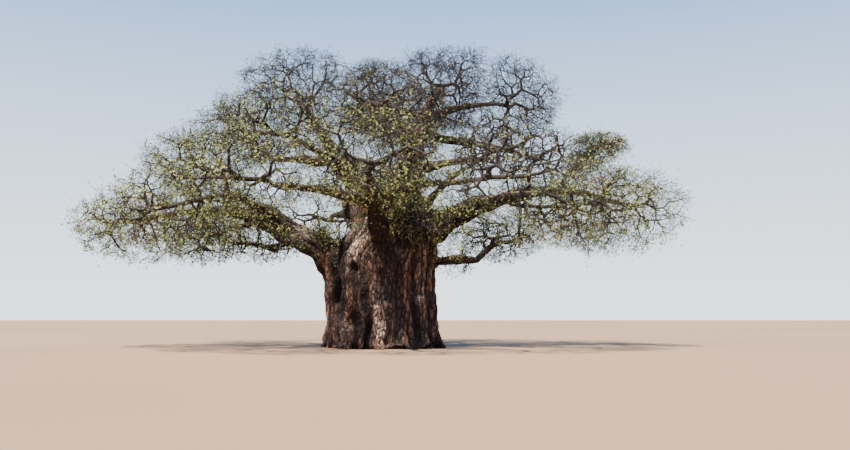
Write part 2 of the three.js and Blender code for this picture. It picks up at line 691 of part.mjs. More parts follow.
// A mass of foliage, cut clear of the bough or trunk that it stands on.
function makeMass(space, spaces, limbs, obstacles, cutters) {
  const { ends, random } = twigEnds(space, spaces, obstacles);
  const bough = limbs.get(space.on);
  const direction = bough ? bough.curve.getTangentAt(1) : null;
  const root = bough
    ? bough.curve.getPointAt(1).addScaledVector(direction, seatGap)
    : trunkPoint(...space.root).lerp(trunkMiddle(space.root[1]), growth.rootDepth);
  const stemRadius = bough
    ? (bough.wide[1] / 2) * growth.stemShare
    : growth.tipRadius * Math.sqrt(ends.length);
  const collar = bough ? root.clone().addScaledVector(direction, stemRadius) : root;
  const isClear = (from, to) =>
    [0.25, 0.5, 0.75, 1].every((share) => {
      const point = from.clone().lerp(to, share);
      const nearStem = point.distanceTo(root) < growth.stemReach;
      return (
        insideBorder(space, spaces, point) > growth.borderGap / 2 &&
        (nearStem || clearOfLimbs(obstacles, point, growth.twigGap, space.on))
      );
    });
  const isInside = (point) =>
    insideBorder(space, spaces, point) > growth.borderGap / 4 &&
    clearOfLimbs(obstacles, point, growth.leafGap);
  const path = [{ point: root, radius: stemRadius }];
  if (bough) path.push({ point: collar, radius: stemRadius * growth.collarShare });
  const wood = { branches: [], sprays: [] };
  growTwigs(ends, path, 1, space, isClear, wood);
  const leaves = [];
  for (const spray of wood.sprays) {
    const shape = random() < space.bare ? bareTwig : leafBlade;
    const avoided = [...cutters.values(), ...leaves];
    const blade = leafOn(spray, root, shape, random, isInside, avoided);
    if (blade) leaves.push(blade);
  }
  const turned = (space.turned ?? 0) * degree;
  // The twigs are turned again, and then a leaf is dropped, until the mass is cleanly closed.
  for (let attempt = 0; ; attempt++) {
    const pieces = wood.branches.map((branch) =>
      solidOf(branchGeometry(branch, turned + 2 * Math.PI * random())),
    );
    const dropped = Math.floor(attempt / growth.triesPerLeaf);
    const kept = leaves.slice(0, leaves.length - dropped);
    const solid = [...pieces, ...kept].reduce((sum, piece) => sum.add(piece));
    const mesh = meshOf(solid.subtract(cutters.get(space.on)), space.name, foliage, root);
    if (mesh) return mesh;
  }
}

const tree = new THREE.Group();
tree.name = "baobab_tree";

const trunkShape = trunkGeometry();
const { limbs, meshes, cutters } = makeBoughs(trunkShape);
tree.add(meshOf(solidOf(trunkShape), "trunk", bark, vec(0, 0, 0)));
const limbGroup = new THREE.Group();
limbGroup.add(...meshes);
tree.add(limbGroup);

const spaces = makeSpaces();
const obstacles = clearancePoints(limbs);
const crown = new THREE.Group();
for (const space of spaces) {
  crown.add(makeMass(space, spaces, limbs, obstacles, cutters));
}
tree.add(crown);

export default tree;
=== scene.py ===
import math

import bpy
import numpy as np
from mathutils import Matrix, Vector, noise
from mathutils.kdtree import KDTree


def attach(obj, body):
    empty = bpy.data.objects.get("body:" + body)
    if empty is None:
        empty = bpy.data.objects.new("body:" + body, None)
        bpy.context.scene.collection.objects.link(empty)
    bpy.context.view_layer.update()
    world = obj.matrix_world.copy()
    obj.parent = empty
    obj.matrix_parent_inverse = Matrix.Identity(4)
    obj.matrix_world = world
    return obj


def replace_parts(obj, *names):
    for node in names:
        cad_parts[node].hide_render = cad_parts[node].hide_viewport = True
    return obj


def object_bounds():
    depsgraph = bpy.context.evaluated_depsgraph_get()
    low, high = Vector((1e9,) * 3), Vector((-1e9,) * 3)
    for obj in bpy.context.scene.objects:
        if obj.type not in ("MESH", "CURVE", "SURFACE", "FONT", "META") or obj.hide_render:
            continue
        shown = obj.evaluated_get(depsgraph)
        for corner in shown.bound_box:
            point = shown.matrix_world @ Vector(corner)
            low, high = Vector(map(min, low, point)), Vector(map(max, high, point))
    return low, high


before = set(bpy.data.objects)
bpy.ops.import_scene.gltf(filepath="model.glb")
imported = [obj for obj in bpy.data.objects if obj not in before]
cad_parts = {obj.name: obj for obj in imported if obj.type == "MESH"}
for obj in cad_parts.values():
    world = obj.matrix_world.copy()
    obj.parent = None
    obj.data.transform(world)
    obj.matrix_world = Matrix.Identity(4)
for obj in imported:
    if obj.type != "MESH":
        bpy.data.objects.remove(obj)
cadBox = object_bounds()

# The camera stands where the photograph was taken from.
viewpoint = {
    "place": (2.47, -48.6, 1.7),
    "tiltUp": 6.42,  # degrees
    "lens": 35,
    "sensor": 36,
    "farthest": 2000,
}

# Levels of the trunk: height, left edge, right edge, half depth, depth of the folds.
trunk = {
    "levels": [
        (0.00, -3.62, 3.85, 3.56, 0.42),
        (0.35, -3.50, 3.62, 3.38, 0.38),
        (1.00, -3.43, 3.44, 3.22, 0.33),
        (2.00, -3.43, 3.36, 3.12, 0.31),
        (3.20, -3.52, 3.24, 3.06, 0.29),
        (4.30, -3.64, 3.26, 3.04, 0.25),
        (5.20, -3.56, 3.32, 2.98, 0.21),
        (6.00, -2.90, 3.38, 2.76, 0.17),
        (6.80, -2.05, 3.34, 2.42, 0.13),
        (7.70, -1.66, 3.18, 2.06, 0.09),
        (8.50, -1.70, 2.80, 1.70, 0.06),
        (8.95, -1.60, 2.25, 1.25, 0.04),
    ],
    "folds": [  # heading and width of each deep fold
        (219, 13), (244, 6), (257, 7), (277, 6), (289, 8), (309, 8), (331, 9),
        (2, 10), (29, 8), (55, 12), (83, 8), (110, 9), (138, 12), (163, 8), (190, 9),
    ],
    "sides": 220,
    "rings": 90,
}

# name: what it grows from, height on the trunk or share of the bough, tip (heading, distance,
# height), slopes at its root and its tip, diameters at its root and its tip.
boughs = {
    "bough_left_great": ("trunk", 3.5, (180, 11.5, 7.95), (50, -10), (2.9, 0.4)),
    "bough_left_upright": ("bough_left_great", 0.8, (178, 9.7, 10.15), (72, 20), (0.52, 0.3)),
    "bough_left_under": ("bough_left_great", 0.58, (187, 9.1, 6.75), (-12, -24), (0.48, 0.26)),
    "bough_left_short": ("bough_left_great", 0.42, (196, 6.25, 5.65), (-48, -38), (0.62, 0.4)),
    "bough_left_front": ("bough_left_great", 0.52, (214, 9.7, 8.15), (22, -4), (0.76, 0.34)),
    "bough_left_back": ("bough_left_great", 0.46, (149, 9.7, 8.9), (36, 2), (0.82, 0.34)),
    "leader_left": ("trunk", 6.3, (178, 3.6, 12.5), (78, 54), (2.9, 0.64)),
    "bough_left_shoulder": ("leader_left", 0.76, (188, 6.7, 11.0), (-4, 4), (0.76, 0.32)),
    "bough_left_front_upper": ("leader_left", 0.6, (231, 6.3, 11.0), (24, 8), (0.72, 0.32)),
    "leader_right": ("trunk", 6.3, (0, 3.25, 15.3), (92, 60), (3.2, 0.54)),
    "bough_top_centre": ("leader_right", 0.8, (120, 0.9, 14.1), (34, -12), (0.42, 0.26)),
    "bough_top_right": ("leader_right", 0.78, (0, 6.6, 14.5), (30, 2), (0.52, 0.28)),
    "bough_right_shoulder": ("leader_right", 0.68, (359, 7.8, 11.5), (-8, -18), (0.62, 0.3)),
    "bough_right_inner": ("leader_right", 0.44, (326, 6.5, 10.4), (8, -4), (0.76, 0.32)),
    "bough_top_back": ("leader_right", 0.66, (78, 4.3, 13.8), (36, 16), (0.62, 0.3)),
    "bough_top_front": ("leader_right", 0.56, (276, 4.7, 12.0), (26, 6), (0.68, 0.3)),
    "bough_right_great": ("trunk", 5.0, (0, 12.0, 9.05), (52, -8), (2.1, 0.4)),
    "bough_right_upright": ("bough_right_great", 0.88, (0, 11.7, 11.1), (86, 46), (0.44, 0.26)),
    "bough_right_front": ("bough_right_great", 0.5, (335, 10.0, 8.4), (12, -8), (0.64, 0.32)),
    "bough_right_back": ("bough_right_great", 0.45, (30, 10.2, 9.0), (26, 0), (0.7, 0.32)),
    "bough_right_dead": ("bough_right_great", 0.67, (356, 8.0, 5.65), (-74, -98), (0.3, 0.11)),
    "bough_right_low": ("trunk", 4.7, (353, 5.3, 5.05), (14, -2), (1.2, 0.46)),
    "bough_front": ("trunk", 5.3, (268, 8.9, 8.7), (46, 4), (1.7, 0.38)),
    "bough_front_right": ("bough_front", 0.56, (301, 9.3, 8.5), (18, 0), (0.72, 0.32)),
    "bough_front_left": ("bough_front", 0.5, (240, 9.4, 8.2), (16, -2), (0.72, 0.32)),
    "bough_back_left": ("trunk", 5.2, (113, 10.0, 8.9), (50, 2), (1.8, 0.38)),
    "bough_back_upper": ("bough_back_left", 0.52, (106, 6.5, 11.4), (70, 38), (0.76, 0.32)),
    "bough_back_right": ("trunk", 5.0, (68, 9.7, 9.0), (50, 2), (1.7, 0.38)),
    "bough_back_right_upper": ("bough_back_right", 0.54, (45, 6.9, 11.3), (62, 34), (0.72, 0.32)),
}
limbShape = {
    "taperPower": 1.35,
    "rootShare": 1 / 3,  # how far out from the trunk's middle a bough starts
    "bend": 1 / 3,
    "divisions": 200,  # steps in which a curve's length is measured
    "clearanceStep": 0.25,
}

# name: what it stands on, centre (heading, distance, height), half sizes (out, side, up, down),
# how bare it is, from 0 in full leaf to 1 with nothing but twigs, and how full it is, as a share of
# the usual number of short twigs and leaves.
masses = {
    "foliage_left_tip": ("bough_left_great", (184, 14.1, 7.1), (3.8, 4.2, 2.3, 2.2), 0, 1.55),
    "foliage_left_upper": ("bough_left_upright", (179, 11.1, 10.8), (3.5, 3.7, 2.3, 1.9), 0.15, 1.6),
    "foliage_left_under": ("bough_left_under", (188, 10.5, 6.5), (2.7, 2.7, 1.6, 1.8), 0, 0.75),
    "foliage_left_short": ("bough_left_short", (201, 7.3, 5.85), (2.5, 2.2, 1.1, 1.1), 0, 0.5),
    "foliage_left_front": ("bough_left_front", (214, 12.5, 7.2), (3.6, 4.0, 2.4, 2.2), 0, 1),
    "foliage_left_back": ("bough_left_back", (150, 13.5, 8.5), (3.7, 4.3, 2.6, 2.2), 0, 1.2),
    "foliage_top_left": ("leader_left", (178, 5.0, 15.0), (4.0, 4.0, 2.8, 2.6), 0.6, 1),
    "foliage_left_shoulder": ("bough_left_shoulder", (187, 8.3, 12.3), (3.1, 3.4, 2.5, 2.1), 0.3, 1.15),
    "foliage_left_front_upper":
        ("bough_left_front_upper", (233, 8.7, 11.5), (3.4, 3.8, 2.2, 2.0), 0.2, 1),
    "foliage_top_right": ("leader_right", (2, 3.7, 15.2), (4.0, 3.9, 2.75, 2.3), 0.85, 0.8),
    "foliage_top_centre": ("bough_top_centre", (120, 1.5, 15.1), (3.0, 3.0, 2.5, 2.3), 0.6, 0.8),
    "foliage_top_right_outer": ("bough_top_right", (0, 7.5, 14.3), (3.2, 3.8, 2.9, 2.4), 0.8, 0.62),
    "foliage_right_shoulder":
        ("bough_right_shoulder", (359, 9.5, 11.2), (2.9, 3.3, 1.9, 1.9), 0.6, 0.3),
    "foliage_right_inner": ("bough_right_inner", (323, 8.3, 11.0), (3.2, 3.7, 2.2, 2.0), 0.5, 0.24),
    "foliage_top_back": ("bough_top_back", (84, 6.4, 14.7), (3.5, 4.3, 2.6, 2.3), 0.6, 1),
    "foliage_top_front": ("bough_top_front", (272, 7.3, 12.3), (3.3, 3.8, 2.2, 2.0), 0.4, 0.7),
    "foliage_right_tip": ("bough_right_great", (0, 13.8, 8.3), (4.3, 4.1, 2.4, 3.0), 0.1, 1.45),
    "foliage_right_upper": ("bough_right_upright", (1, 12.7, 10.9), (2.2, 3.3, 1.8, 1.6), 0.3, 1.35),
    "foliage_right_front": ("bough_right_front", (334, 12.4, 7.6), (3.5, 4.1, 2.4, 2.4), 0.1, 1.25),
    "foliage_right_back": ("bough_right_back", (30, 13.5, 8.5), (3.7, 4.4, 2.6, 2.2), 0.1, 1),
    "foliage_right_low": ("bough_right_low", (351, 7.0, 6.3), (2.5, 2.7, 1.5, 1.4), 0.1, 0.75),
    "foliage_front": ("bough_front", (270, 11.9, 8.8), (3.3, 4.2, 2.4, 2.0), 0.1, 0.65),
    "foliage_front_right": ("bough_front_right", (302, 12.3, 8.5), (3.4, 4.2, 2.4, 2.1), 0.1, 0.5),
    "foliage_front_left": ("bough_front_left", (241, 12.4, 8.3), (3.4, 4.2, 2.4, 2.1), 0, 0.75),
    "foliage_back_left": ("bough_back_left", (113, 13.3, 8.9), (3.7, 4.9, 2.6, 2.2), 0.1, 1),
    "foliage_back_upper": ("bough_back_upper", (106, 9.3, 12.5), (3.3, 4.5, 2.4, 2.0), 0.3, 1),
    "foliage_back_right": ("bough_back_right", (69, 13.3, 8.9), (3.7, 4.9, 2.6, 2.2), 0.1, 0.65),
    "foliage_back_right_upper":
        ("bough_back_right_upper", (45, 9.5, 12.4), (3.3, 4.5, 2.4, 2.0), 0.4, 0.4),
    "foliage_trunk_upper": ("trunk", (271, 3.7, 9.4), (1.5, 2.3, 1.5, 1.5), 0, 0.3),
    "foliage_trunk_right": ("trunk", (309, 4.1, 7.0), (1.5, 1.9, 1.3, 1.3), 0, 0.2),
}
trunkStems = {  # heading and height of the stems that stand on the trunk itself
    "foliage_trunk_upper": (272, 8.0),
    "foliage_trunk_right": (318, 6.5),
}

# The rule by which twigs fill a mass, the same as in the solids but carried to single twigs.
growth = {
    "cloudSize": 512,
    "batch": 256,
    "seedsPerMass": 65536,
    "firstSeed": 101,
    "shellBias": 0.28,
    "shootShare": 0.04,
    "shootLength": 0.16,
    "forkShare": (0.4, 0.6),
    "splitShare": (0.36, 0.64),
    "crook": 0.15,
    "attempts": 5,
    "tipRadius": 0.008,
    "stemShare": 0.96,
    "collarShare": 0.9,
    "stemReach": 1.2,
    "rootDepth": 0.1,
    "borderGap": 0.13,
    "limbGap": 0.26,
    "twigGap": 0.12,
    "seatGap": 0.0003,
    "stemSink": 0.5,  # how far a stem reaches back into its bough
    "offshoot": 0.9,  # the smaller branch of a fork starts at this share of the fork's radius
    "taper": 0.97,  # a fork is never thicker than this share of the one before it
    "sprayEnds": 20,  # ends that share one tint
    "openShare": 1.4,  # a mass keeps this many times its fullness of the last ends
}


def polar(heading, out, height):
    angle = math.radians(heading)
    return np.array([out * math.cos(angle), out * math.sin(angle), height])


def between(span, share):
    low, high = span
    return low + (high - low) * share


def turnFrom(headings, middle):
    # degrees from the middle heading, between -180 and 180
    return (headings - middle + 540) % 360 - 180


def unit(vectors):
    length = np.linalg.norm(vectors, axis=-1, keepdims=True)
    return vectors / np.maximum(length, 1e-12)


def seededRandom(seed):
    # the solids' own generator, so that the same branches grow here
    whole = 0xFFFFFFFF
    state = seed & whole

    def draw():
        nonlocal state
        state = (state + 0x6D2B79F5) & whole
        mixed = ((state ^ (state >> 15)) * (1 | state)) & whole
        mixed = ((mixed + (((mixed ^ (mixed >> 7)) * (61 | mixed)) & whole)) ^ mixed) & whole
        return ((mixed ^ (mixed >> 14)) & whole) / (whole + 1)

    return draw


def foldDepth(heading):
    depth = np.zeros_like(np.asarray(heading, float))
    for middle, width in trunk["folds"]:
        depth = depth + np.exp(-((turnFrom(heading, middle) / width) ** 2))
    return depth


def trunkLevelAt(height):
    levels = np.array(trunk["levels"])
    return [np.interp(height, levels[:, 0], levels[:, column]) for column in range(1, 5)]


def trunkMiddle(height):
    left, right, _, _ = trunkLevelAt(height)
    return np.array([(left + right) / 2, 0, height])


def trunkPoint(heading, height):
    left, right, halfDepth, fold = trunkLevelAt(height)
    halfWidth = (right - left) / 2
    inset = 1 - fold * foldDepth(heading) / halfWidth
    angle = math.radians(heading)
    across = np.array([halfWidth * inset * math.cos(angle), halfDepth * inset * math.sin(angle), 0])
    return trunkMiddle(height) + across


def slopeDirection(heading, rise):
    flat = math.cos(math.radians(rise))
    angle = math.radians(heading)
    return np.array([flat * math.cos(angle), flat * math.sin(angle), math.sin(math.radians(rise))])


def headingTo(start, end):
    return math.degrees(math.atan2(end[1] - start[1], end[0] - start[0]))


def bezier(limb, parameter):
    t = np.atleast_1d(parameter)[:, None]
    a, b, c, d = limb["controls"]
    return (1 - t) ** 3 * a + 3 * (1 - t) ** 2 * t * b + 3 * (1 - t) * t**2 * c + t**3 * d


def pointAt(limb, share):
    return bezier(limb, np.interp(share * limb["length"], limb["lengths"], limb["parameters"]))


def tangentAt(limb, share):
    parameter = np.interp(share * limb["length"], limb["lengths"], limb["parameters"])
    low = np.clip(parameter - 1e-4, 0, 1)
    high = np.clip(parameter + 1e-4, 0, 1)
    return unit(bezier(limb, high) - bezier(limb, low))


def radiusAlong(limb, share):
    rootWide, tipWide = limb["wide"]
    return (tipWide + (rootWide - tipWide) * (1 - share) ** limbShape["taperPower"]) / 2


def makeLimbs():
    limbs = {}
    for name, (parent, at, tipPlace, (leave, arrive), wide) in boughs.items():
        tip = polar(*tipPlace)
        if parent == "trunk":
            middle = trunkMiddle(at)
            surface = trunkPoint(headingTo(middle, tip) % 360, at)
            root = middle + (surface - middle) * limbShape["rootShare"]
        else:
            root = pointAt(limbs[parent], at)[0]
        heading = headingTo(root, tip)
        pull = np.linalg.norm(tip - root) * limbShape["bend"]
        controls = [
            root,
            root + slopeDirection(heading, leave) * pull,
            tip - slopeDirection(heading, arrive) * pull,
            tip,
        ]
        limb = {"controls": controls, "wide": wide}
        limb["parameters"] = np.linspace(0, 1, limbShape["divisions"] + 1)
        steps = np.linalg.norm(np.diff(bezier(limb, limb["parameters"]), axis=0), axis=1)
        limb["lengths"] = np.concatenate([[0], np.cumsum(steps)])
        limb["length"] = limb["lengths"][-1]
        limbs[name] = limb
    return limbs


def clearancePoints(limbs):
    centres, radii, owners = [], [], []
    for name, limb in limbs.items():
        steps = math.ceil(limb["length"] / limbShape["clearanceStep"])
        shares = np.arange(steps + 1) / steps
        centres.append(pointAt(limb, shares))
        radii.append(radiusAlong(limb, shares))
        owners += [name] * (steps + 1)
    return np.concatenate(centres), np.concatenate(radii), np.array(owners)


def insideTrunk(points, gap):
    top = trunk["levels"][-1][0]
    left, right, halfDepth, _ = trunkLevelAt(np.minimum(points[:, 2], top))
    x = (points[:, 0] - (left + right) / 2) / ((right - left) / 2 + gap)
    y = points[:, 1] / (halfDepth + gap)
    return (points[:, 2] <= top + gap) & (x * x + y * y < 1)


def clearOfLimbs(points, gap, ownBough=None):
    centres, radii, owners = obstacles
    apart = np.linalg.norm(points[:, None, :] - centres[None], axis=2)
    free = apart > radii + gap
    if ownBough:
        free |= owners == ownBough
    return free.all(axis=1) & ~insideTrunk(points, gap)


def makeSpaces():
    spaces = []
    for index, (name, (standsOn, centre, half, bare, full)) in enumerate(masses.items()):
        spaces.append({
            "name": name,
            "on": standsOn,
            "bare": bare,
            "full": full,
            "half": half,
            "index": index,
            "seed": growth["firstSeed"] + index,
            "middle": polar(*centre),
            "outward": polar(centre[0], 1, 0),
            "sidewards": polar(centre[0], 1, 0)[[1, 0, 2]] * [-1, 1, 1],
            "size": (half[0] * half[1] * (half[2] + half[3]) / 2) ** (1 / 3),
        })
    return spaces


def insideBorder(space, points):
    # how far each point lies inside the border with the nearest neighbouring mass
    others = np.array([other["middle"] for other in spaces if other is not space])
    sizes = np.array([other["size"] for other in spaces if other is not space])
    apart = np.linalg.norm(others - space["middle"], axis=1)
    away = ((points[:, None, :] - others[None]) ** 2).sum(axis=2) - sizes**2
    near = ((points - space["middle"]) ** 2).sum(axis=1)[:, None] - space["size"] ** 2
    return ((away - near) / (2 * apart)).min(axis=1)


def candidateEnd(space, draw):
    outwards, sideways, upwards, downwards = space["half"]
    level = 2 * draw() - 1
    around = 2 * math.pi * draw()
    depth = draw() ** growth["shellBias"]
    shoots = draw() < growth["shootShare"]
    stretch = depth * (1 + growth["shootLength"] * draw() if shoots else 1)
    flat = math.sqrt(1 - level * level) * stretch
    end = space["middle"] + space["outward"] * (outwards * flat * math.cos(around))
    end = end + space["sidewards"] * (sideways * flat * math.sin(around))
    end[2] += level * stretch * (upwards if level > 0 else downwards)
    return end


def twigEnds(space):
    draw = seededRandom(space["seed"])
    ends = np.zeros((0, 3))
    while len(ends) < growth["cloudSize"]:
        points = np.array([candidateEnd(space, draw) for _ in range(growth["batch"])])
        inside = insideBorder(space, points) > growth["borderGap"]
        points = points[inside]
        ends = np.concatenate([ends, points[clearOfLimbs(points, growth["limbGap"])]])
    return ends[: growth["cloudSize"]]


def longDirection(points, middle):
    # the direction in which the points spread most, found in the same rounds as in the solids
    offsets = points - middle
    spread = offsets.T @ offsets
    direction = unit(np.array([1, 0.7, 0.4]))
    for _ in range(6):
        following = spread @ direction
        size = np.linalg.norm(following)
        if size == 0:
            break
        direction = following / size
    return direction


def isClearWay(space, start, place):
    points = start + (place - start) * np.array([[0.25], [0.5], [0.75], [1.0]])
    if (insideBorder(space, points) <= growth["borderGap"] / 2).any():
        return False
    far = np.linalg.norm(points - space["root"], axis=1) >= growth["stemReach"]
    return not far.any() or clearOfLimbs(points[far], growth["twigGap"], space["on"]).all()


def forkPlace(space, start, middle, draw):
    # the first of a few tries, each further off the straight way, that is clear of everything
    length = np.linalg.norm(middle - start)
    for attempt in range(1, growth["attempts"] + 1):
        place = start + (middle - start) * between(growth["forkShare"], draw())
        wander = growth["crook"] * length * attempt
        place = place + wander * (np.array([draw(), draw(), draw()]) - 0.5)
        if isClearWay(space, start, place):
            return place
    return None


def growTwigs(ends, path, place, space, spray, wood):
    # path is a list of (point, radius) from its root; place numbers the forks
    start, thickness = path[-1]
    seed = space["seed"] * growth["seedsPerMass"] + place
    draw = seededRandom(seed)
    if len(ends) <= growth["sprayEnds"] and spray is None:
        spray = seed
    isLast = len(ends) == 1
    if isLast and insideBox(ends[0]) and draw() < growth["openShare"] * space["full"]:
        path.append((ends[0], growth["tipRadius"] / 2))
        wood["ends"].append((start, ends[0], space["index"], space["bare"], spray))
    middle = ends.mean(axis=0)
    fork = None if isLast else forkPlace(space, start, middle, draw)
    if fork is None:
        if len(path) > 1:
            wood["paths"].append(path)
        return
    order = np.argsort(ends @ longDirection(ends, middle), kind="stable")
    count = math.floor(len(ends) * between(growth["splitShare"], draw()) + 0.5)
    count = min(max(count, 1), len(ends) - 1)
    halves = [ends[order[:count]], ends[order[count:]]]
    if len(halves[1]) > len(halves[0]):
        halves.reverse()
    radius = min(growth["tipRadius"] * math.sqrt(len(ends)), thickness * growth["taper"])
    path.append((fork, radius))
    offshoot = [(fork, radius * growth["offshoot"])]
    growTwigs(halves[0], path, 2 * place, space, spray, wood)
    growTwigs(halves[1], offshoot, 2 * place + 1, space, spray, wood)


def growMass(space, wood):
    if space["on"] == "trunk":
        heading, height = trunkStems[space["name"]]
        surface = trunkPoint(heading, height)
        root = surface + (trunkMiddle(height) - surface) * growth["rootDepth"]
        radius = growth["tipRadius"] * math.sqrt(growth["cloudSize"])
        path = [(root, radius)]
    else:
        limb = limbs[space["on"]]
        direction = tangentAt(limb, 1)[0]
        root = pointAt(limb, 1)[0] + direction * growth["seatGap"]
        radius = limb["wide"][1] / 2 * growth["stemShare"]
        within = pointAt(limb, 1 - growth["stemSink"] / limb["length"])[0]
        collar = (root + direction * radius, radius * growth["collarShare"])
        path = [(within, radius), (root, radius), collar]
    space["root"] = root
    growTwigs(twigEnds(space), path, 1, space, None, wood)


def addObject(name, data):
    added = bpy.data.objects.new(name, data)
    bpy.context.scene.collection.objects.link(added)
    return added


def triangleMesh(name, points, triangles, material, smooth=False):
    mesh = bpy.data.meshes.new(name)
    mesh.vertices.add(len(points))
    mesh.vertices.foreach_set("co", np.asarray(points, np.float32).ravel())
    corners = np.asarray(triangles, np.int32).ravel()
    mesh.loops.add(len(corners))
    mesh.loops.foreach_set("vertex_index", corners)
    mesh.polygons.add(len(triangles))
    mesh.polygons.foreach_set("loop_start", np.arange(0, len(corners), 3, dtype=np.int32))
    mesh.polygons.foreach_set("loop_total", np.full(len(triangles), 3, dtype=np.int32))
    mesh.polygons.foreach_set("use_smooth", np.full(len(triangles), smooth))
    mesh.update(calc_edges=True)
    mesh.validate()
    mesh.materials.append(material)
    return mesh


def addPiece(mesh):
    piece = addObject(mesh.name, mesh)
    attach(piece, "root")
    mesh.calc_loop_triangles()
    print(mesh.name, len(mesh.loop_triangles), "triangles")
    return piece


# Twigs are drawn as tapering tubes, with fewer sides and steps where they are thin.
twigShape = {
    "sides": ((0.07, 7), (0.03, 4), (0, 3)),  # least radius at the root, number of sides
    "curveStep": 0.55,  # a thick twig is bent in steps of this length
    "mostSteps": 4,
    "curveRadius": 0.018,  # a twig thinner than this keeps straight between its forks
    "wander": 0.035,  # sideways wander of a bend, as a share of the stretch's length
    "thicker": (0.3, 0.1),  # thin branches are drawn this much thicker, up to this radius
    "thick": 0.03,  # radius at the root of the thinnest branch in the thick piece
    "colour": (0.015, 0.010, 0.008),
    "roughness": 0.85,
    "mottling": (1.3, 0.55),  # patches to the metre, how much darker and lighter they are
}


def drawnRadius(radius):
    more, limit = twigShape["thicker"]
    return radius * (1 + more * max(0, 1 - radius / limit))


def bentPath(path, draw):
    # rounds the corners of a thick path with points on a smooth curve through its forks
    path = [(point, drawnRadius(radius)) for point, radius in path]
    bent = [path[0]]
    for i in range(len(path) - 1):
        (a, ra), (b, rb) = path[i], path[i + 1]
        before = path[i - 1][0] if i > 0 else a
        after = path[i + 2][0] if i + 2 < len(path) else b
        length = np.linalg.norm(b - a)
        steps = 1
        if ra > twigShape["curveRadius"]:
            steps = min(twigShape["mostSteps"], max(1, round(length / twigShape["curveStep"])))
        for step in range(1, steps):
            t = step / steps
            point = (
                0.5 * (2 * a + (b - before) * t + (2 * before - 5 * a + 4 * b - after) * t**2
                       + (3 * a - before - 3 * b + after) * t**3)
            )
            point = point + length * twigShape["wander"] * (draw.random(3) - 0.5)
            bent.append((point, ra + (rb - ra) * t))
        bent.append((b, rb))
    return bent


def sideFrames(directions, whole):
    # two directions square to each given one; upright wholes are turned from +X
    upright = np.abs(whole[:, 2:]) > 0.8
    reference = np.where(upright, [1.0, 0.0, 0.0], [0.0, 0.0, 1.0])
    across = unit(np.cross(reference, directions))
    return across, np.cross(directions, across)


def ringAround(across, over, sides):
    angles = 2 * math.pi * np.arange(sides) / sides
    return (
        across[:, None] * np.cos(angles)[None, :, None]
        + over[:, None] * np.sin(angles)[None, :, None]
    )


def sweepPaths(paths, sides):
    # every path becomes a tube of that many sides, which ends in a point
    counts = np.array([len(path) for path in paths])
    points = np.concatenate([[point for point, _ in path] for path in paths])
    radii = np.concatenate([[radius for _, radius in path] for path in paths])
    starts = np.concatenate([[0], np.cumsum(counts)[:-1]])
    lasts = starts + counts - 1
    rows = np.arange(len(points))
    isFirst = np.zeros(len(points), bool)
    isFirst[starts] = True
    isLast = np.zeros(len(points), bool)
    isLast[lasts] = True
    before = np.where(isFirst, rows, rows - 1)
    after = np.where(isLast, rows, rows + 1)
    tangents = unit(points[after] - points[before])
    whole = unit(points[lasts] - points[starts])
    across, over = sideFrames(tangents, np.repeat(whole, counts, axis=0))
    rings = points[:, None] + ringAround(across, over, sides) * radii[:, None, None]
    # the last ring of a path shrinks to one point
    vertexCounts = np.where(isLast, 1, sides)
    firstVertex = np.concatenate([[0], np.cumsum(vertexCounts)[:-1]])
    vertices = np.zeros((vertexCounts.sum(), 3))
    body = np.nonzero(~isLast)[0]
    side = np.arange(sides)
    vertices[firstVertex[body][:, None] + side] = rings[body]
    vertices[firstVertex[lasts]] = points[lasts]
    following = (side + 1) % sides
    inner = body[~isLast[body + 1]]
    a = firstVertex[inner][:, None] + side
    b = firstVertex[inner][:, None] + following
    c = firstVertex[inner + 1][:, None] + following
    d = firstVertex[inner + 1][:, None] + side
    outer = body[isLast[body + 1]]
    e = firstVertex[outer][:, None] + side
    f = firstVertex[outer][:, None] + following
    tip = np.repeat(firstVertex[outer + 1][:, None], sides, axis=1)
    corners = [(a, b, c), (a, c, d), (e, f, tip)]
    triangles = [np.stack(three, axis=-1).reshape(-1, 3) for three in corners]
    return vertices, np.concatenate(triangles)


def joinParts(parts):
    points, triangles, offset = [], [], 0
    for vertices, faces in parts:
        points.append(vertices)
        triangles.append(faces + offset)
        offset += len(vertices)
    return np.concatenate(points), np.concatenate(triangles)


def twigMesh(paths):
    groups = {}
    for path in paths:
        sides = next(count for least, count in twigShape["sides"] if path[0][1] > least)
        groups.setdefault(sides, []).append(path)
    return joinParts([sweepPaths(group, sides) for sides, group in sorted(groups.items())])


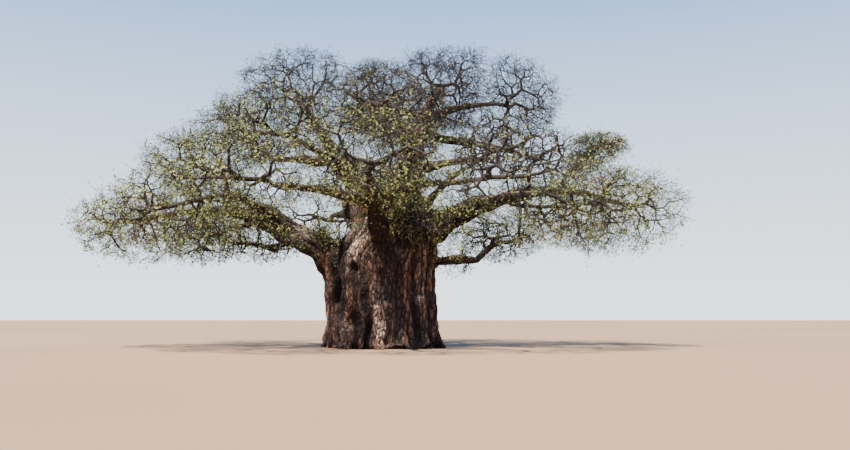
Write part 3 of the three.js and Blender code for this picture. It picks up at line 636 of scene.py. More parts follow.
# Short twigs and leaves at the end of every branch.
spraySettings = {
    "twigsPerEnd": 3.5,  # in full leaf
    "leafPlaces": (0.55, 1.0),  # along a short twig
    "twigsPerBareEnd": 7,  # where there are no leaves
    "sideTwigs": 2.7,  # small twigs on each bent one
    "twigLength": (0.25, 0.7),
    "bareLength": 1.5,  # how much longer a twig is where there are no leaves
    "sideShare": (0.25, 0.6),  # a side twig's length, as a share of its twig's
    "twigRadius": 0.0108,
    "kink": 0.2,  # sideways bend in the middle of a short twig, as a share of its length
    "onwards": 0.6,  # how much a short twig follows its branch
    "outwards": 0.35,
    "scatter": 0.65,
    "droop": 0.12,
    "shell": (0.97, 1.09),  # a short twig that would stand further out of its mass is bent in
    "strays": (0.17, 0.24, 2.1),  # share of them that stand out, how much further, how much longer
    "leafSize": (0.7, 1.25),
    "leafTilt": (0.8, 0.4),  # how much leaves tilt at random and how much they face up
    "leafyPower": 1.3,
    "barePower": 1.5,
    "bareLeaf": 0.6,  # size of a leaf where its mass is bare, as a share of one in full leaf
    "alongBranch": (0.15, 1.0),  # where short twigs stand on the last stretch of a branch
    "alongTwig": (0.2, 0.95),  # where side twigs stand on their twig
    "sideOnwards": 0.5,
    "sideScatter": 0.6,
    "pointed": 0.75,  # a bent twig's radius at its bend, as a share of that at its base
    "straight": 0.85,  # radius of the straight twigs, as a share of the bent ones'
    "bentFrom": 0.45,  # twigs are bent where they are at least as bare as this
    "boxMargin": 0.021,  # how far twigs and leaves may stand past the solids' box
    "leastHeight": 0.1,
}
leafShape = {
    "leaflets": 5,
    "spread": 236,  # degrees between the outer leaflets
    "length": 0.09,
    "width": 0.044,
    "widest": 0.3,  # share of the length where a leaflet is widest
    "droop": 0.25,
    "shorter": 0.35,  # how much shorter the outer leaflets are
    "mottling": (2.2, 0.25),
}
leafTints = {  # base colour, roughness, share in full leaf, share where it is bare
    "Bright": ((0.205, 0.215, 0.055), 0.55, 0.30, 0.20),
    "Olive": ((0.120, 0.134, 0.032), 0.6, 0.34, 0.27),
    "Mid": ((0.058, 0.074, 0.018), 0.6, 0.19, 0.10),
    "Dark": ((0.028, 0.038, 0.010), 0.65, 0.11, 0.05),
    "Dry": ((0.150, 0.112, 0.050), 0.75, 0.06, 0.38),
}


def leafTemplate():
    points, triangles = [], []
    count = leafShape["leaflets"]
    for i in range(count):
        outer = 2 * i / (count - 1) - 1
        turn = math.radians(leafShape["spread"] / 2 * outer)
        length = leafShape["length"] * (1 - leafShape["shorter"] * abs(outer))
        along = np.array([math.cos(turn), math.sin(turn), 0])
        across = np.array([-math.sin(turn), math.cos(turn), 0])
        half = leafShape["width"] / 2
        base = len(points)
        points.append(along * length * leafShape["widest"] + across * half)
        points.append(along * length - np.array([0, 0, leafShape["droop"] * length]))
        points.append(along * length * leafShape["widest"] - across * half)
        triangles.append((base, base + 2, base + 1))
    return np.array(points), np.array(triangles)


def repeatFaces(points, faces):
    # the same faces for every row of points
    offsets = points.shape[1] * np.arange(len(points))[:, None, None]
    return points.reshape(-1, 3), (np.array(faces)[None] + offsets).reshape(-1, 3)


def placeLeaves(places, normals, forwards, sizes):
    template, faces = leafTemplate()
    upward = unit(normals)
    across = unit(np.cross(upward, forwards))
    ahead = np.cross(across, upward)
    turned = (
        ahead[:, None] * template[None, :, :1]
        + across[:, None] * template[None, :, 1:2]
        + upward[:, None] * template[None, :, 2:]
    )
    return repeatFaces(places[:, None] + turned * sizes[:, None, None], faces)


def insideBox(points):
    low, high = np.array(cadBox[0]), np.array(cadBox[1])
    slack = (high - low) * spraySettings["boxMargin"]
    inside = (points > low - slack) & (points < high + slack)
    return inside.all(axis=-1) & (points[..., 2] > spraySettings["leastHeight"])


def ofOwners(key, owners):
    return np.array([space[key] for space in spaces])[owners]


def keepInShell(points, owners, strays, draw):
    # bends in what would stand too far out of the rounded form of its mass
    middles, half = ofOwners("middle", owners), ofOwners("half", owners)
    outward, sidewards = ofOwners("outward", owners), ofOwners("sidewards", owners)
    offset = points - middles
    tall = np.where(offset[:, 2] > 0, half[:, 2], half[:, 3])
    reach = np.sqrt(
        ((offset * outward).sum(axis=1) / half[:, 0]) ** 2
        + ((offset * sidewards).sum(axis=1) / half[:, 1]) ** 2
        + (offset[:, 2] / tall) ** 2
    )
    limit = between(spraySettings["shell"], draw.random(len(points)))
    limit += np.where(strays, spraySettings["strays"][1] * draw.random(len(points)), 0)
    scale = np.where(owners < 0, 1, np.minimum(1, limit / np.maximum(reach, 1e-6)))
    return middles * (1 - scale[:, None]) + points * scale[:, None]


def makeSprays(wood, draw):
    # short twigs fan out along the last stretch of every branch
    starts, tips, owners, bare, ids = (np.array(column) for column in zip(*wood["ends"]))
    full = np.array([space["full"] for space in spaces] + [1])[owners]
    perEnd = (spraySettings["twigsPerEnd"], spraySettings["twigsPerBareEnd"])
    wanted = between(perEnd, bare ** spraySettings["barePower"]) * full
    counts = np.floor(wanted + draw.random(len(wanted))).astype(int)
    starts, tips, owners, bare, ids = (
        np.repeat(column, counts, axis=0) for column in (starts, tips, owners, bare, ids)
    )
    size = len(starts)
    outwards = np.where(owners[:, None] < 0, tips - starts, tips - ofOwners("middle", owners))
    bases = starts + (tips - starts) * between(spraySettings["alongBranch"], draw.random((size, 1)))
    direction = (
        unit(tips - starts) * spraySettings["onwards"]
        + unit(outwards) * spraySettings["outwards"]
        + draw.normal(size=(size, 3)) * spraySettings["scatter"]
    )
    direction[:, 2] -= spraySettings["droop"]
    lengths = between(spraySettings["twigLength"], draw.random((size, 1)))
    lengths *= 1 + (spraySettings["bareLength"] - 1) * bare[:, None]
    strays = draw.random(size) < spraySettings["strays"][0]
    lengths *= np.where(strays, spraySettings["strays"][2], 1)[:, None]
    ends = keepInShell(bases + unit(direction) * lengths, owners, strays, draw)
    kinks = (bases + ends) / 2 + draw.normal(size=(size, 3)) * lengths * spraySettings["kink"] / 2
    sprays = {
        "bases": bases,
        "kinks": kinks,
        "ends": ends,
        "direction": unit(ends - kinks),
        "bare": bare,
        "spray": ids,
    }
    keep = insideBox(ends)
    return {key: values[keep] for key, values in sprays.items()}


def sideTwigs(sprays, chosen, draw):
    # small straight twigs that stand off the bent ones, as bases and ends
    counts = np.floor(spraySettings["sideTwigs"] + draw.random(chosen.sum())).astype(int)
    before, middle, after = (
        np.repeat(sprays[key][chosen], counts, axis=0) for key in ("bases", "kinks", "ends")
    )
    along = between(spraySettings["alongTwig"], draw.random((len(middle), 1)))
    lower = before + (middle - before) * along * 2
    upper = middle + (after - middle) * (along * 2 - 1)
    bases = np.where(along < 0.5, lower, upper)
    length = np.linalg.norm(after - before, axis=1, keepdims=True)
    onwards = unit(after - before) * spraySettings["sideOnwards"]
    direction = unit(onwards + draw.normal(size=bases.shape) * spraySettings["sideScatter"])
    ends = bases + direction * length * between(spraySettings["sideShare"], draw.random((len(bases), 1)))
    keep = insideBox(ends)
    return bases[keep], ends[keep]


def pointedTwigs(stations, tips):
    # three-sided twigs through stations of (centres, radius), each with its own pointed tip
    direction = unit(tips - stations[0][0])
    ring = ringAround(*sideFrames(direction, direction), 3)
    rings = [centres[:, None] + ring * radius for centres, radius in stations]
    points = np.concatenate([*rings, tips[:, None]], axis=1)
    faces = []
    last = 3 * len(stations) - 3
    for side in range(3):
        following = (side + 1) % 3
        for first in range(0, last, 3):
            faces.append((first + side, first + following, first + 3 + following))
            faces.append((first + side, first + 3 + following, first + 3 + side))
        faces.append((last + side, last + following, last + 3))
    return repeatFaces(points, faces)


class Nodes:
    # a short way to add nodes and join them, ending in the shader or background named here
    def __init__(self, owner, ending="Principled BSDF"):
        owner.use_nodes = True
        self.tree = owner.node_tree
        self.ending = self.tree.nodes[ending]

    def feed(self, node, inputs):
        for name, value in inputs.items():
            socket = node.inputs[name]
            if isinstance(value, bpy.types.NodeSocket):
                self.tree.links.new(value, socket)
            elif socket.type == "RGBA":
                socket.default_value = (*value, 1)
            else:
                socket.default_value = value

    def add(self, kind, inputs=None, **values):
        node = self.tree.nodes.new(kind)
        for key, value in values.items():
            setattr(node, key, value)
        self.feed(node, inputs or {})
        return node

    def attribute(self, name, output="Fac"):
        return self.add("ShaderNodeAttribute", attribute_name=name).outputs[output]

    def noise(self, vector, scale, detail, roughness):
        inputs = {"Vector": vector, "Scale": scale, "Detail": detail, "Roughness": roughness}
        return self.add("ShaderNodeTexNoise", inputs).outputs["Fac"]

    def ramp(self, value, low, high, kind="SMOOTHSTEP"):
        inputs = {"Value": value, "From Min": low, "From Max": high}
        return self.add("ShaderNodeMapRange", inputs, interpolation_type=kind).outputs["Result"]

    def math(self, operation, first, second):
        node = self.add("ShaderNodeMath", {0: first, 1: second}, operation=operation, use_clamp=True)
        return node.outputs[0]

    def times(self, first, second):
        return self.math("MULTIPLY", first, second)

    def mix(self, share, first, second):
        node = self.add("ShaderNodeMix", data_type="RGBA")
        self.feed(node, {"Factor": share, "A": first, "B": second})
        return node.outputs["Result"]


mottle = {
    "noise": (3, 0.6),  # detail, roughness
    "edge": (0.35, 0.65),
    "gloss": 0.3,
}


def mottledMaterial(name, colour, roughness, scale, spread):
    # a base colour that wanders darker and lighter from place to place
    material = bpy.data.materials.new(name)
    nodes = Nodes(material)
    place = nodes.add("ShaderNodeTexCoord").outputs["Object"]
    patches = nodes.ramp(nodes.noise(place, scale, *mottle["noise"]), *mottle["edge"])
    dark = tuple(channel * (1 - spread) for channel in colour)
    light = tuple(channel * (1 + spread) for channel in colour)
    nodes.feed(nodes.ending, {
        "Base Color": nodes.mix(patches, dark, light),
        "Roughness": roughness,
        "Specular IOR Level": mottle["gloss"],
    })
    return material


# Leafy shoots that stand on the limbs themselves: limb, from and to share of its length, number
# of shoots, then, where they aren't the usual ones, headings they stand towards (middle and half
# range), longest shoot and range of rise.
shoots = (
    ("leader_left", 0.3, 0.85, 70, (260, 80), 0.9, (-0.4, 0.7)),
    ("leader_right", 0.10, 0.75, 110, (265, 90), 1.0, (-0.4, 0.7)),
    ("bough_left_great", 0.18, 0.38, 60, (255, 70), 1.0, (0.5, 1.6)),
    ("bough_left_great", 0.40, 0.8, 25, (250, 90), 0.7, (0.2, 1.2)),
    ("bough_right_great", 0.15, 0.9, 170, (270, 100), 0.9, (-0.4, 0.7)),
    ("bough_right_low", 0.1, 1.0, 85, (270, 150), 0.8, (-0.6, 0.9)),
    ("bough_front", 0.15, 1.0, 90),
    ("bough_front_left", 0.05, 1.0, 70),
    ("bough_front_right", 0.05, 1.0, 110),
    ("bough_right_inner", 0.2, 1.0, 40),
    ("bough_right_shoulder", 0.3, 1.0, 30),
    ("bough_left_front", 0.1, 1.0, 40),
    ("bough_top_front", 0.2, 1.0, 40),
    ("bough_back_left", 0.2, 0.8, 30, (100, 90), 0.8, (-0.4, 0.7)),
    ("bough_back_right", 0.2, 0.8, 30, (80, 90), 0.8, (-0.4, 0.7)),
)
usualShoot = ((270, 150), 0.8, (-0.4, 0.7))
trunkShoots = {
    "count": 80,
    "headings": (250, 332),
    "heights": (6.1, 8.9),
    "length": (0.4, 1.0),
    "rootDepth": 0.05,
}
shootShape = {
    "length": (0.4, 1.0),  # shares of the longest
    "rootReach": 0.9,  # where a shoot starts, as a share of the limb's radius
    "bend": 0.55,  # share of its length up to its bend
    "turns": (0.35, 0.5),  # how much it turns at random at its base and at its bend
    "rise": 0.25,
    "radii": (0.016, 0.012, 0.006),
    "bare": 0.1,
}


def growShoots(wood, draw):
    spray = 10**9  # past the sprays of the masses
    for name, low, high, count, *own in shoots:
        (heading, spread), longest, rise = own or usualShoot
        limb = limbs[name]
        for _ in range(count):
            share = between((low, high), draw.random())
            centre = pointAt(limb, share)[0]
            angle = math.radians(heading + spread * (2 * draw.random() - 1))
            outward = np.array([math.cos(angle), math.sin(angle), draw.uniform(*rise)])
            tangent = tangentAt(limb, share)[0]
            outward = unit(outward - tangent * (outward @ tangent))
            length = longest * between(shootShape["length"], draw.random())
            base = centre + outward * radiusAlong(limb, share) * shootShape["rootReach"]
            addShoot(wood, centre, base, length, draw, spray)
            spray += 1
    for _ in range(trunkShoots["count"]):
        heading = draw.uniform(*trunkShoots["headings"])
        height = draw.uniform(*trunkShoots["heights"])
        surface = trunkPoint(heading, height)
        middle = trunkMiddle(height)
        base = surface + (middle - surface) * trunkShoots["rootDepth"]
        addShoot(wood, middle, base, draw.uniform(*trunkShoots["length"]), draw, spray)
        spray += 1


def addShoot(wood, centre, base, length, draw, spray):
    atBase, atBend = shootShape["turns"]
    direction = unit(base - centre) + draw.normal(size=3) * atBase + [0, 0, shootShape["rise"]]
    direction = unit(direction)
    bend = base + direction * length * shootShape["bend"]
    tip = bend + unit(direction + draw.normal(size=3) * atBend) * length * (1 - shootShape["bend"])
    wood["paths"].append(list(zip((base, bend, tip), shootShape["radii"])))
    wood["ends"].append((base, bend, -1, shootShape["bare"], spray))
    wood["ends"].append((bend, tip, -1, shootShape["bare"], spray))


# Dead boughs that hang bare below the right-hand great bough: bough and share of its length that
# they start from, their radius, and the places that they pass.
deadBoughs = (
    ("bough_right_great", 0.67, 0.13,
     ((8.05, -0.62, 7.6), (7.95, -0.55, 6.6), (8.1, -0.5, 6.1), (7.9, -0.5, 5.5))),
    ("bough_right_great", 0.70, 0.1,
     ((8.4, -0.7, 7.9), (8.6, -0.75, 7.45), (9.2, -0.7, 7.5), (9.7, -0.65, 7.4))),
)
deadShape = {
    "root": 1.15,  # radius at its start, as a share of its own
    "taper": 0.2,  # of its radius lost from place to place
    "twigs": 3,  # at each place after the first
    "twigHang": -0.8,
    "twigTurn": 0.6,
    "twigLengths": (0.3, 0.35),
    "twigRadii": (0.35, 0.25),  # as shares of the bough's
    "twigTip": 0.006,
}


def growDeadBoughs(wood, draw):
    near, far = deadShape["twigLengths"]
    rootShare, bendShare = deadShape["twigRadii"]
    for name, share, radius, places in deadBoughs:
        path = [(pointAt(limbs[name], share)[0], radius * deadShape["root"])]
        for step, place in enumerate(places):
            path.append((np.array(place), radius * (1 - deadShape["taper"] * (step + 1))))
        wood["paths"].append(path)
        for point, size in path[2:]:
            for _ in range(deadShape["twigs"]):
                side = unit(draw.normal(size=3) + np.array([0, 0, deadShape["twigHang"]]))
                middle = point + side * near
                tip = middle + unit(side + draw.normal(size=3) * deadShape["twigTurn"]) * far
                twig = [(point, size * rootShare), (middle, size * bendShare)]
                wood["paths"].append([*twig, (tip, deadShape["twigTip"])])


def loftRings(rings):
    # rings of points, all of one count, as a closed body with a fan at each end
    count, sides = rings.shape[:2]
    points = np.concatenate([rings.reshape(-1, 3), [rings[0].mean(axis=0), rings[-1].mean(axis=0)]])
    side = np.arange(sides)
    following = (side + 1) % sides
    triangles = []
    for ring in range(count - 1):
        a, b = ring * sides + side, ring * sides + following
        triangles.append(np.stack([a, b, b + sides], axis=-1))
        triangles.append(np.stack([a, b + sides, a + sides], axis=-1))
    bottom, top = count * sides, count * sides + 1
    last = (count - 1) * sides
    triangles.append(np.stack([following, side, np.full(sides, bottom)], axis=-1))
    triangles.append(np.stack([last + side, last + following, np.full(sides, top)], axis=-1))
    return points, np.concatenate(triangles)


def trunkBody():
    headings = np.arange(trunk["sides"]) * 360 / trunk["sides"]
    rings = []
    for height in np.linspace(0, trunk["levels"][-1][0], trunk["rings"]):
        left, right, halfDepth, fold = trunkLevelAt(height)
        halfWidth = (right - left) / 2
        inset = 1 - fold * foldDepth(headings) / halfWidth
        angles = np.radians(headings)
        x = (left + right) / 2 + halfWidth * inset * np.cos(angles)
        y = halfDepth * inset * np.sin(angles)
        rings.append(np.stack([x, y, np.full(len(angles), height)], axis=-1))
    return loftRings(np.array(rings))


limbBodies = {
    "sides": 28,
    "step": 0.3,
    "wobble": 0.22,  # sideways wander of a limb, as a share of its radius
    "swell": 0.15,  # how much its radius varies
    "wave": 1.3,  # length of the wander, in metres
    "swellPace": 1.4,  # swells to each wander
    "freeEnds": 4,  # the wander grows from nothing over the first and last of so many parts
}


def limbFrames(limb, shares):
    tangents = tangentAt(limb, shares)
    upright = np.abs(tangents[:, 2]).max() > 0.97
    reference = np.array([1.0, 0, 0]) if upright else np.array([0, 0, 1.0])
    across = unit(np.cross(np.broadcast_to(reference, tangents.shape), tangents))
    return pointAt(limb, shares), tangents, across, np.cross(tangents, across)


def limbBody(limb, number):
    steps = max(6, math.ceil(limb["length"] / limbBodies["step"]))
    shares = np.arange(steps + 1) / steps
    centres, _, across, over = limbFrames(limb, shares)
    radii = radiusAlong(limb, shares)
    for i, share in enumerate(shares):
        phase = share * limb["length"] / limbBodies["wave"]
        free = min(1, limbBodies["freeEnds"] * (1 - share), limbBodies["freeEnds"] * share)
        wander = limbBodies["wobble"] * radii[i] * free
        centres[i] += across[i] * wander * noise.noise((phase, number, 0.5)) * 2
        centres[i] += over[i] * wander * noise.noise((phase, number, 7.5)) * 2
        swell = noise.noise((phase * limbBodies["swellPace"], number, 3.5)) * 2
        radii[i] *= 1 + limbBodies["swell"] * free * swell
    ring = ringAround(across, over, limbBodies["sides"])
    return loftRings(centres[:, None] + ring * radii[:, None, None])


# The bark: trunk and boughs as one skin, with their relief pressed into it and painted shade and
# highlights marked on it.
barkRelief = {
    "voxel": 0.086,
    "smoothing": 4,
    "flutes": (  # around a turn, depth, rise, width of the groove, darkness of the painted shade in it
        (4.2, 0.20, 0.16, 0.8, 1),
        (8, 0.13, 0.28, 0.55, 0.8),
        (17, 0.07, 0.5, 0.55, 0.6),
    ),
    "grooveShare": 0.35,  # a groove is this wide, as a share of the noise around it
    "meander": (0.5, 0.7, 7),  # per metre across and upwards, degrees that the flutes wander
    "follow": 0.7,  # how much of the wander the dark folds and pale ridges follow
    # darkness of the painted shade in the trunk's deep folds
    "foldShade": 0.9,
    "knobs": (1.6, 0.7, 0.17, 4.8),  # per metre, share of it upwards, height, up to this height
    "pebbles": (3.1, 0.10, 271, 9, 4.8),  # per metre, height, heading, width, up to this height
    "pebbleShares": (0.35, 1.4),  # how high they are on the knobs and on the ridge
    "fine": (4.6, 0.4, 0.055, 0.02),  # per metre, share of it upwards, height on trunk and limbs
    "limbFlutes": (2.2, 0.35, 0.22, 0.2, 0.8),  # per radius, per metre along, width, depth, darkness of the painted shade in a flute
    "limbLumps": (1.1, 0.2),
    "deepFold": (219, 6.5, 4.6, 1.9, 0.38),  # heading, width, height, half height, depth
    "lobe": (243, 8, 5.75, 1.15, 0.24),
    "knotHole": (246, 4.2, 4.45, 0.3, 0.45),
    "shade": (281, 27, 12, 2.6, 1.7, 0.88),  # heading, half width, edge, from, over, darkness
    "shadedFolds": (  # heading, width, from and to this height, darkness of the painted shade, depth
        (214, 8, 2.6, 6.9, 1.0, 0.06),
        (220, 5, 2.0, 6.7, 1.0, 0.06),
        (230, 2.2, 0.0, 3.4, 0.9, 0.10),
        (235.5, 1.4, 0.0, 2.4, 0.8, 0.06),
        (242, 2.0, 0.0, 2.8, 0.9, 0.10),
        (247, 1.4, 0.0, 3.6, 0.8, 0.06),
        (262.5, 1.2, 0.2, 3.0, 0.7, 0.05),
        (275.5, 1.3, 0.2, 3.6, 0.7, 0.05),
        (257, 3.0, 0.0, 5.0, 0.95, 0.12),
        (286, 6.5, 0.2, 4.6, 0.9, 0.14),
        (296, 2.0, 0.3, 3.0, 0.7, 0.08),
        (311, 5.6, 0.4, 4.2, 0.97, 0.12),
        (334, 4.0, 0.0, 5.0, 0.8, 0.10),
        (200, 4.0, 0.0, 4.0, 0.6, 0.08),
    ),
    "highlightRidges": (  # heading, width, from and to this height, strength of the painted highlight
        (270.5, 8, 0.3, 4.4, 0.8),
        (222, 2.2, 0.6, 3.2, 0.5),
        (214, 1.8, 0.3, 2.6, 0.4),
        (250, 3.0, 0.6, 4.0, 0.7),
        (237, 1.8, 1.2, 3.8, 0.45),
        (211, 3.0, 1.5, 4.8, 0.25),
        (293, 3.4, 1.0, 3.6, 0.5),
        (322, 6, 1.6, 5.4, 0.4),
    ),
    "paintedShadowSpots": (  # middle, half sizes, darkness of the painted shadow cast by leaves and boughs above
        ((-2.8, -1.9, 6.1), (0.8, 1.3, 1.0), 1.0),
        ((-2.1, -2.4, 4.9), (0.35, 0.8, 0.7), 0.8),
        ((-0.3, -3.4, 7.6), (1.1, 1.6, 1.7), 0.75),
        ((1.4, -2.6, 6.6), (2.0, 1.6, 1.2), 0.7),
    ),
    "spotEdge": 1.6,
    "rowEnds": 0.8,  # the rows above fade out over this height at their upper ends
    "rootFlare": (0.5, 0.10),  # height, how far the ridges stand out at the ground
    "trunkEdge": (1.16, 0.14, 9.0, 1.5),  # where the trunk's bark ends, outwards and upwards
    "limbStep": 0.15,
    "grain": (1, 1, 0.16),  # the bark's pattern is stretched along the trunk and the limbs
}


def bump(headings, heights, settings):
    middle, width, height, halfHeight, depth = settings
    away = turnFrom(headings, middle) / width
    rise = (heights - height) / halfHeight
    return depth * np.exp(-(away**2) - rise**2)


def fade(values):
    return np.clip(values, 0, 1)


def stripe(headings, heights, row, start, fadeIn):
    # 1 on an upright stripe, down to 0 past its sides and its ends
    middle, width, low, high = row
    away = turnFrom(headings, middle) / width
    run = fade((heights - low + start) / fadeIn) * fade((high - heights) / barkRelief["rowEnds"])
    return np.exp(-(away**4)) * run


def noiseAt(points, offset=0.0):
    # another offset gives another pattern
    return np.array([noise.noise((x + offset, y, z)) for x, y, z in points])


def grooves(values, share):
    # 1 in the bottom of a groove, where the noise passes through nought
    return fade(1 - np.abs(values) / share) ** 1.5


def readVectors(mesh, what):
    values = np.empty(len(mesh.vertices) * 3)
    mesh.vertices.foreach_get(what, values)
    return values.reshape(-1, 3)


def trunkPlaces(points):
    # how far each point belongs to the trunk, and its heading round it
    heights = points[:, 2]
    left, right, halfDepth, _ = trunkLevelAt(np.clip(heights, 0, trunk["levels"][-1][0]))
    x = (points[:, 0] - (left + right) / 2) / ((right - left) / 2)
    y = points[:, 1] / halfDepth
    reach, reachFade, top, topFade = barkRelief["trunkEdge"]
    onTrunk = fade((reach - np.hypot(x, y)) / reachFade) * fade((top - heights) / topFade)
    return onTrunk, np.degrees(np.arctan2(y, x)) % 360


def limbPlaces(points):
    # each point in the frame of the limb that it is on, and that limb's radius there
    frames = []
    for limb in limbs.values():
        shares = np.linspace(0, 1, math.ceil(limb["length"] / barkRelief["limbStep"]) + 1)
        centres, tangents, across, over = limbFrames(limb, shares)
        lengths = shares * limb["length"]
        frames += zip(centres, across, over, tangents, radiusAlong(limb, shares), lengths)
    tree = KDTree(len(frames))
    for number, row in enumerate(frames):
        tree.insert(Vector(row[0]), number)
    tree.balance()
    nearest = np.empty(len(points), int)
    for i, point in enumerate(points):
        found = tree.find_n(Vector(point), 4)
        nearest[i] = min(found, key=lambda hit: hit[2] / frames[hit[1]][4])[1]
    centres, across, over, tangents, radii, lengths = (
        np.array(column)[nearest] for column in zip(*frames)
    )
    offset = points - centres
    local = np.stack([(offset * side).sum(1) for side in (across, over, tangents)], 1)
    local[:, 2] += lengths
    return local, radii


def fluteRelief(heights, headings, sway):
    # flutes, deep folds and shaded folds: how far they press in, and how much painted shade darkens them
    angle = np.radians(headings + sway)
    press = np.zeros(len(heights))
    crease = np.zeros(len(heights))
    for number, (around, depth, rise, width, dark) in enumerate(barkRelief["flutes"]):
        ring = [np.cos(angle) * around, np.sin(angle) * around, heights * rise + 10 * number]
        groove = grooves(noiseAt(np.stack(ring, 1)), barkRelief["grooveShare"] * width)
        press -= depth * groove
        crease = np.maximum(crease, groove * dark)
    crease = np.maximum(crease, fade(foldDepth(headings) ** 2) * barkRelief["foldShade"])
    for *row, dark, depth in barkRelief["shadedFolds"]:
        mask = stripe(headings + barkRelief["follow"] * sway, heights, row, 0.5, 0.5)
        crease = np.maximum(crease, dark * mask)
        press -= depth * mask
    return press, crease


def trunkRelief(points, headings, fine):
    # how far the trunk's skin stands out, how much painted shade darkens its creases and how much
    # painted highlight lightens its ridges and lobe
    heights = points[:, 2]
    across, upwards, wander = barkRelief["meander"]
    sway = wander * noiseAt(points * [across, across, upwards], 15)
    press, crease = fluteRelief(heights, headings, sway)
    deep, hole, lobe = (
        bump(headings, heights, barkRelief[name]) for name in ("deepFold", "knotHole", "lobe")
    )
    press += lobe - deep - hole
    # painted shade in the deep fold and the knot hole, and less of it on the lobe, which is painted as
    # lit
    crease = np.maximum(crease, fade(deep / 0.2))
    crease = np.maximum(crease, fade(hole / 0.15))
    crease *= 1 - fade(lobe / 0.2) * fade(1 - hole / 0.1) * 0.8
    perMetre, upwards, height, top = barkRelief["knobs"]
    low = fade((top - heights) / 2)
    press += height * noiseAt(points * [perMetre, perMetre, perMetre * upwards], 30) * low
    perMetre, height, middle, width, top = barkRelief["pebbles"]
    pebbles = np.abs(noiseAt(points * perMetre, 45))
    ridge = np.exp(-(((headings - middle) / width) ** 2)) * fade((top - heights) / 1)
    onKnobs, onRidge = barkRelief["pebbleShares"]
    press += height * pebbles * (onKnobs * low + onRidge * ridge)
    # less painted shade on the pebbled ridge, and painted shade between the pebbles
    crease *= 1 - 0.6 * ridge
    crease = np.maximum(crease, fade(0.25 - pebbles) * 3 * np.maximum(ridge, 0.5 * low))
    press += barkRelief["fine"][2] * fine
    # painted shade in the hollows of the fine relief
    crease = fade(crease + 0.5 * fade(-fine - 0.1))
    middle, width, edge, height, over, dark = barkRelief["shade"]
    shade = fade((width - np.abs(turnFrom(headings, middle))) / edge) * fade((heights - height) / over)
    crease = np.maximum(crease, dark * shade * (1 - 0.6 * fade(fine * 3)))
    # painted highlight along the lit ridges, none where there is painted shade
    ridges = np.zeros(len(points))
    for *row, light in barkRelief["highlightRidges"]:
        mask = stripe(headings + barkRelief["follow"] * sway, heights, row, 0, 0.6)
        ridges = np.maximum(ridges, light * mask)
    ridges *= 1 - fade(crease)
    flareHeight, flare = barkRelief["rootFlare"]
    press += flare * np.exp(-np.clip(heights, 0, 9) / flareHeight) * (1 - crease)
    return press, crease, np.maximum(fade(lobe / 0.12), ridges)


def limbRelief(points, local, radii, fine):
    # flutes and lumps of the limbs, with painted shade in the flutes
    perRadius, along, width, depth, dark = barkRelief["limbFlutes"]
    perMetre, height = barkRelief["limbLumps"]
    strands = np.stack([
        local[:, 0] / radii * perRadius,
        local[:, 1] / radii * perRadius,
        local[:, 2] * along,
    ], 1)
    strand = grooves(noiseAt(strands, 90), width)
    lumps = noiseAt(points * perMetre, 120)
    press = -depth * radii * strand + height * radii * lumps + barkRelief["fine"][3] * fine
    return press, strand * dark


def pressBark(mesh):
    points = readVectors(mesh, "co")
    normals = readVectors(mesh, "normal")
    onTrunk, headings = trunkPlaces(points)
    local, radii = limbPlaces(points)
    perMetre, upwards = barkRelief["fine"][:2]
    fine = noiseAt(points * [perMetre, perMetre, perMetre * upwards], 60)
    press, crease, paintedHighlight = trunkRelief(points, headings, fine)
    limbPress, limbCrease = limbRelief(points, local, radii, fine)
    press = onTrunk * press + (1 - onTrunk) * limbPress
    crease = onTrunk * crease + (1 - onTrunk) * limbCrease
    # painted shadow of the leaf clumps and boughs above on the bark
    for middle, half, dark in barkRelief["paintedShadowSpots"]:
        away = ((points - np.array(middle)) / np.array(half)) ** 2
        crease = np.maximum(crease, dark * fade(barkRelief["spotEdge"] - away.sum(axis=1)))
    points = points + normals * press[:, None]
    points[:, 2] = np.maximum(points[:, 2], 0)
    mesh.vertices.foreach_set("co", points.ravel())
    grain = (onTrunk[:, None] * points + (1 - onTrunk[:, None]) * local) * barkRelief["grain"]
    # crease carries painted shade; the next attribute carries painted highlight, on the trunk only
    for name, values in (("crease", crease), ("paintedHighlight", paintedHighlight * onTrunk), ("trunkness", onTrunk)):
        mesh.attributes.new(name, "FLOAT", "POINT").data.foreach_set("value", values)
    attribute = mesh.attributes.new("grain", "FLOAT_VECTOR", "POINT")
    attribute.data.foreach_set("vector", grain.ravel())
    mesh.update()


barkLook = {
    "shadow": (0.009, 0.006, 0.006),
    "brown": (0.056, 0.028, 0.021),
    "red": (0.275, 0.120, 0.068),
    "tan": (0.440, 0.320, 0.245),
    "limb": (0.034, 0.020, 0.016),
    "roughness": 0.88,
    "streaks": (3.2, 5, 0.7),  # of the grain: scale, detail, roughness
    "patches": (1.1, 3, 0.6),
    "flecks": (14, 3, 0.65),
    "pocks": 9,
    "plates": 4.5,  # cracks to the metre, closer round the trunk than along it
    "plateShape": (1, 1, 2.6),
    "worn": 0.75,
    # painted highlight: tan laid on upward-facing bark, as if lit by the sun above
    "topHighlight": 0.42,
    # how far the painted shade of the crease attribute takes the colour to the shadow colour
    "creased": 0.97,
    "cracked": 0.85,
    "bump": (0.9, 0.12),  # strength, distance
    "gloss": 0.2,
    "redStreaks": (0.42, 0.62),  # from and to where the noise turns one tone to the other
    "wornPatches": (0.45, 0.7),
    "wornFlecks": (0.4, 0.65),
    "wornLimbs": 0.3,
    # upward slope and flecks over which that painted top highlight comes in
    "topHighlightRise": (0.15, 0.95),
    "topHighlightFlecks": (0.25, 0.7),
    # flecks and least strength of the painted highlight on the ridges and the lobe
    "highlightFlecks": (0.35, 0.6),
    "highlightLeast": 0.25,
    "crackEdge": (0.0, 0.2),
}


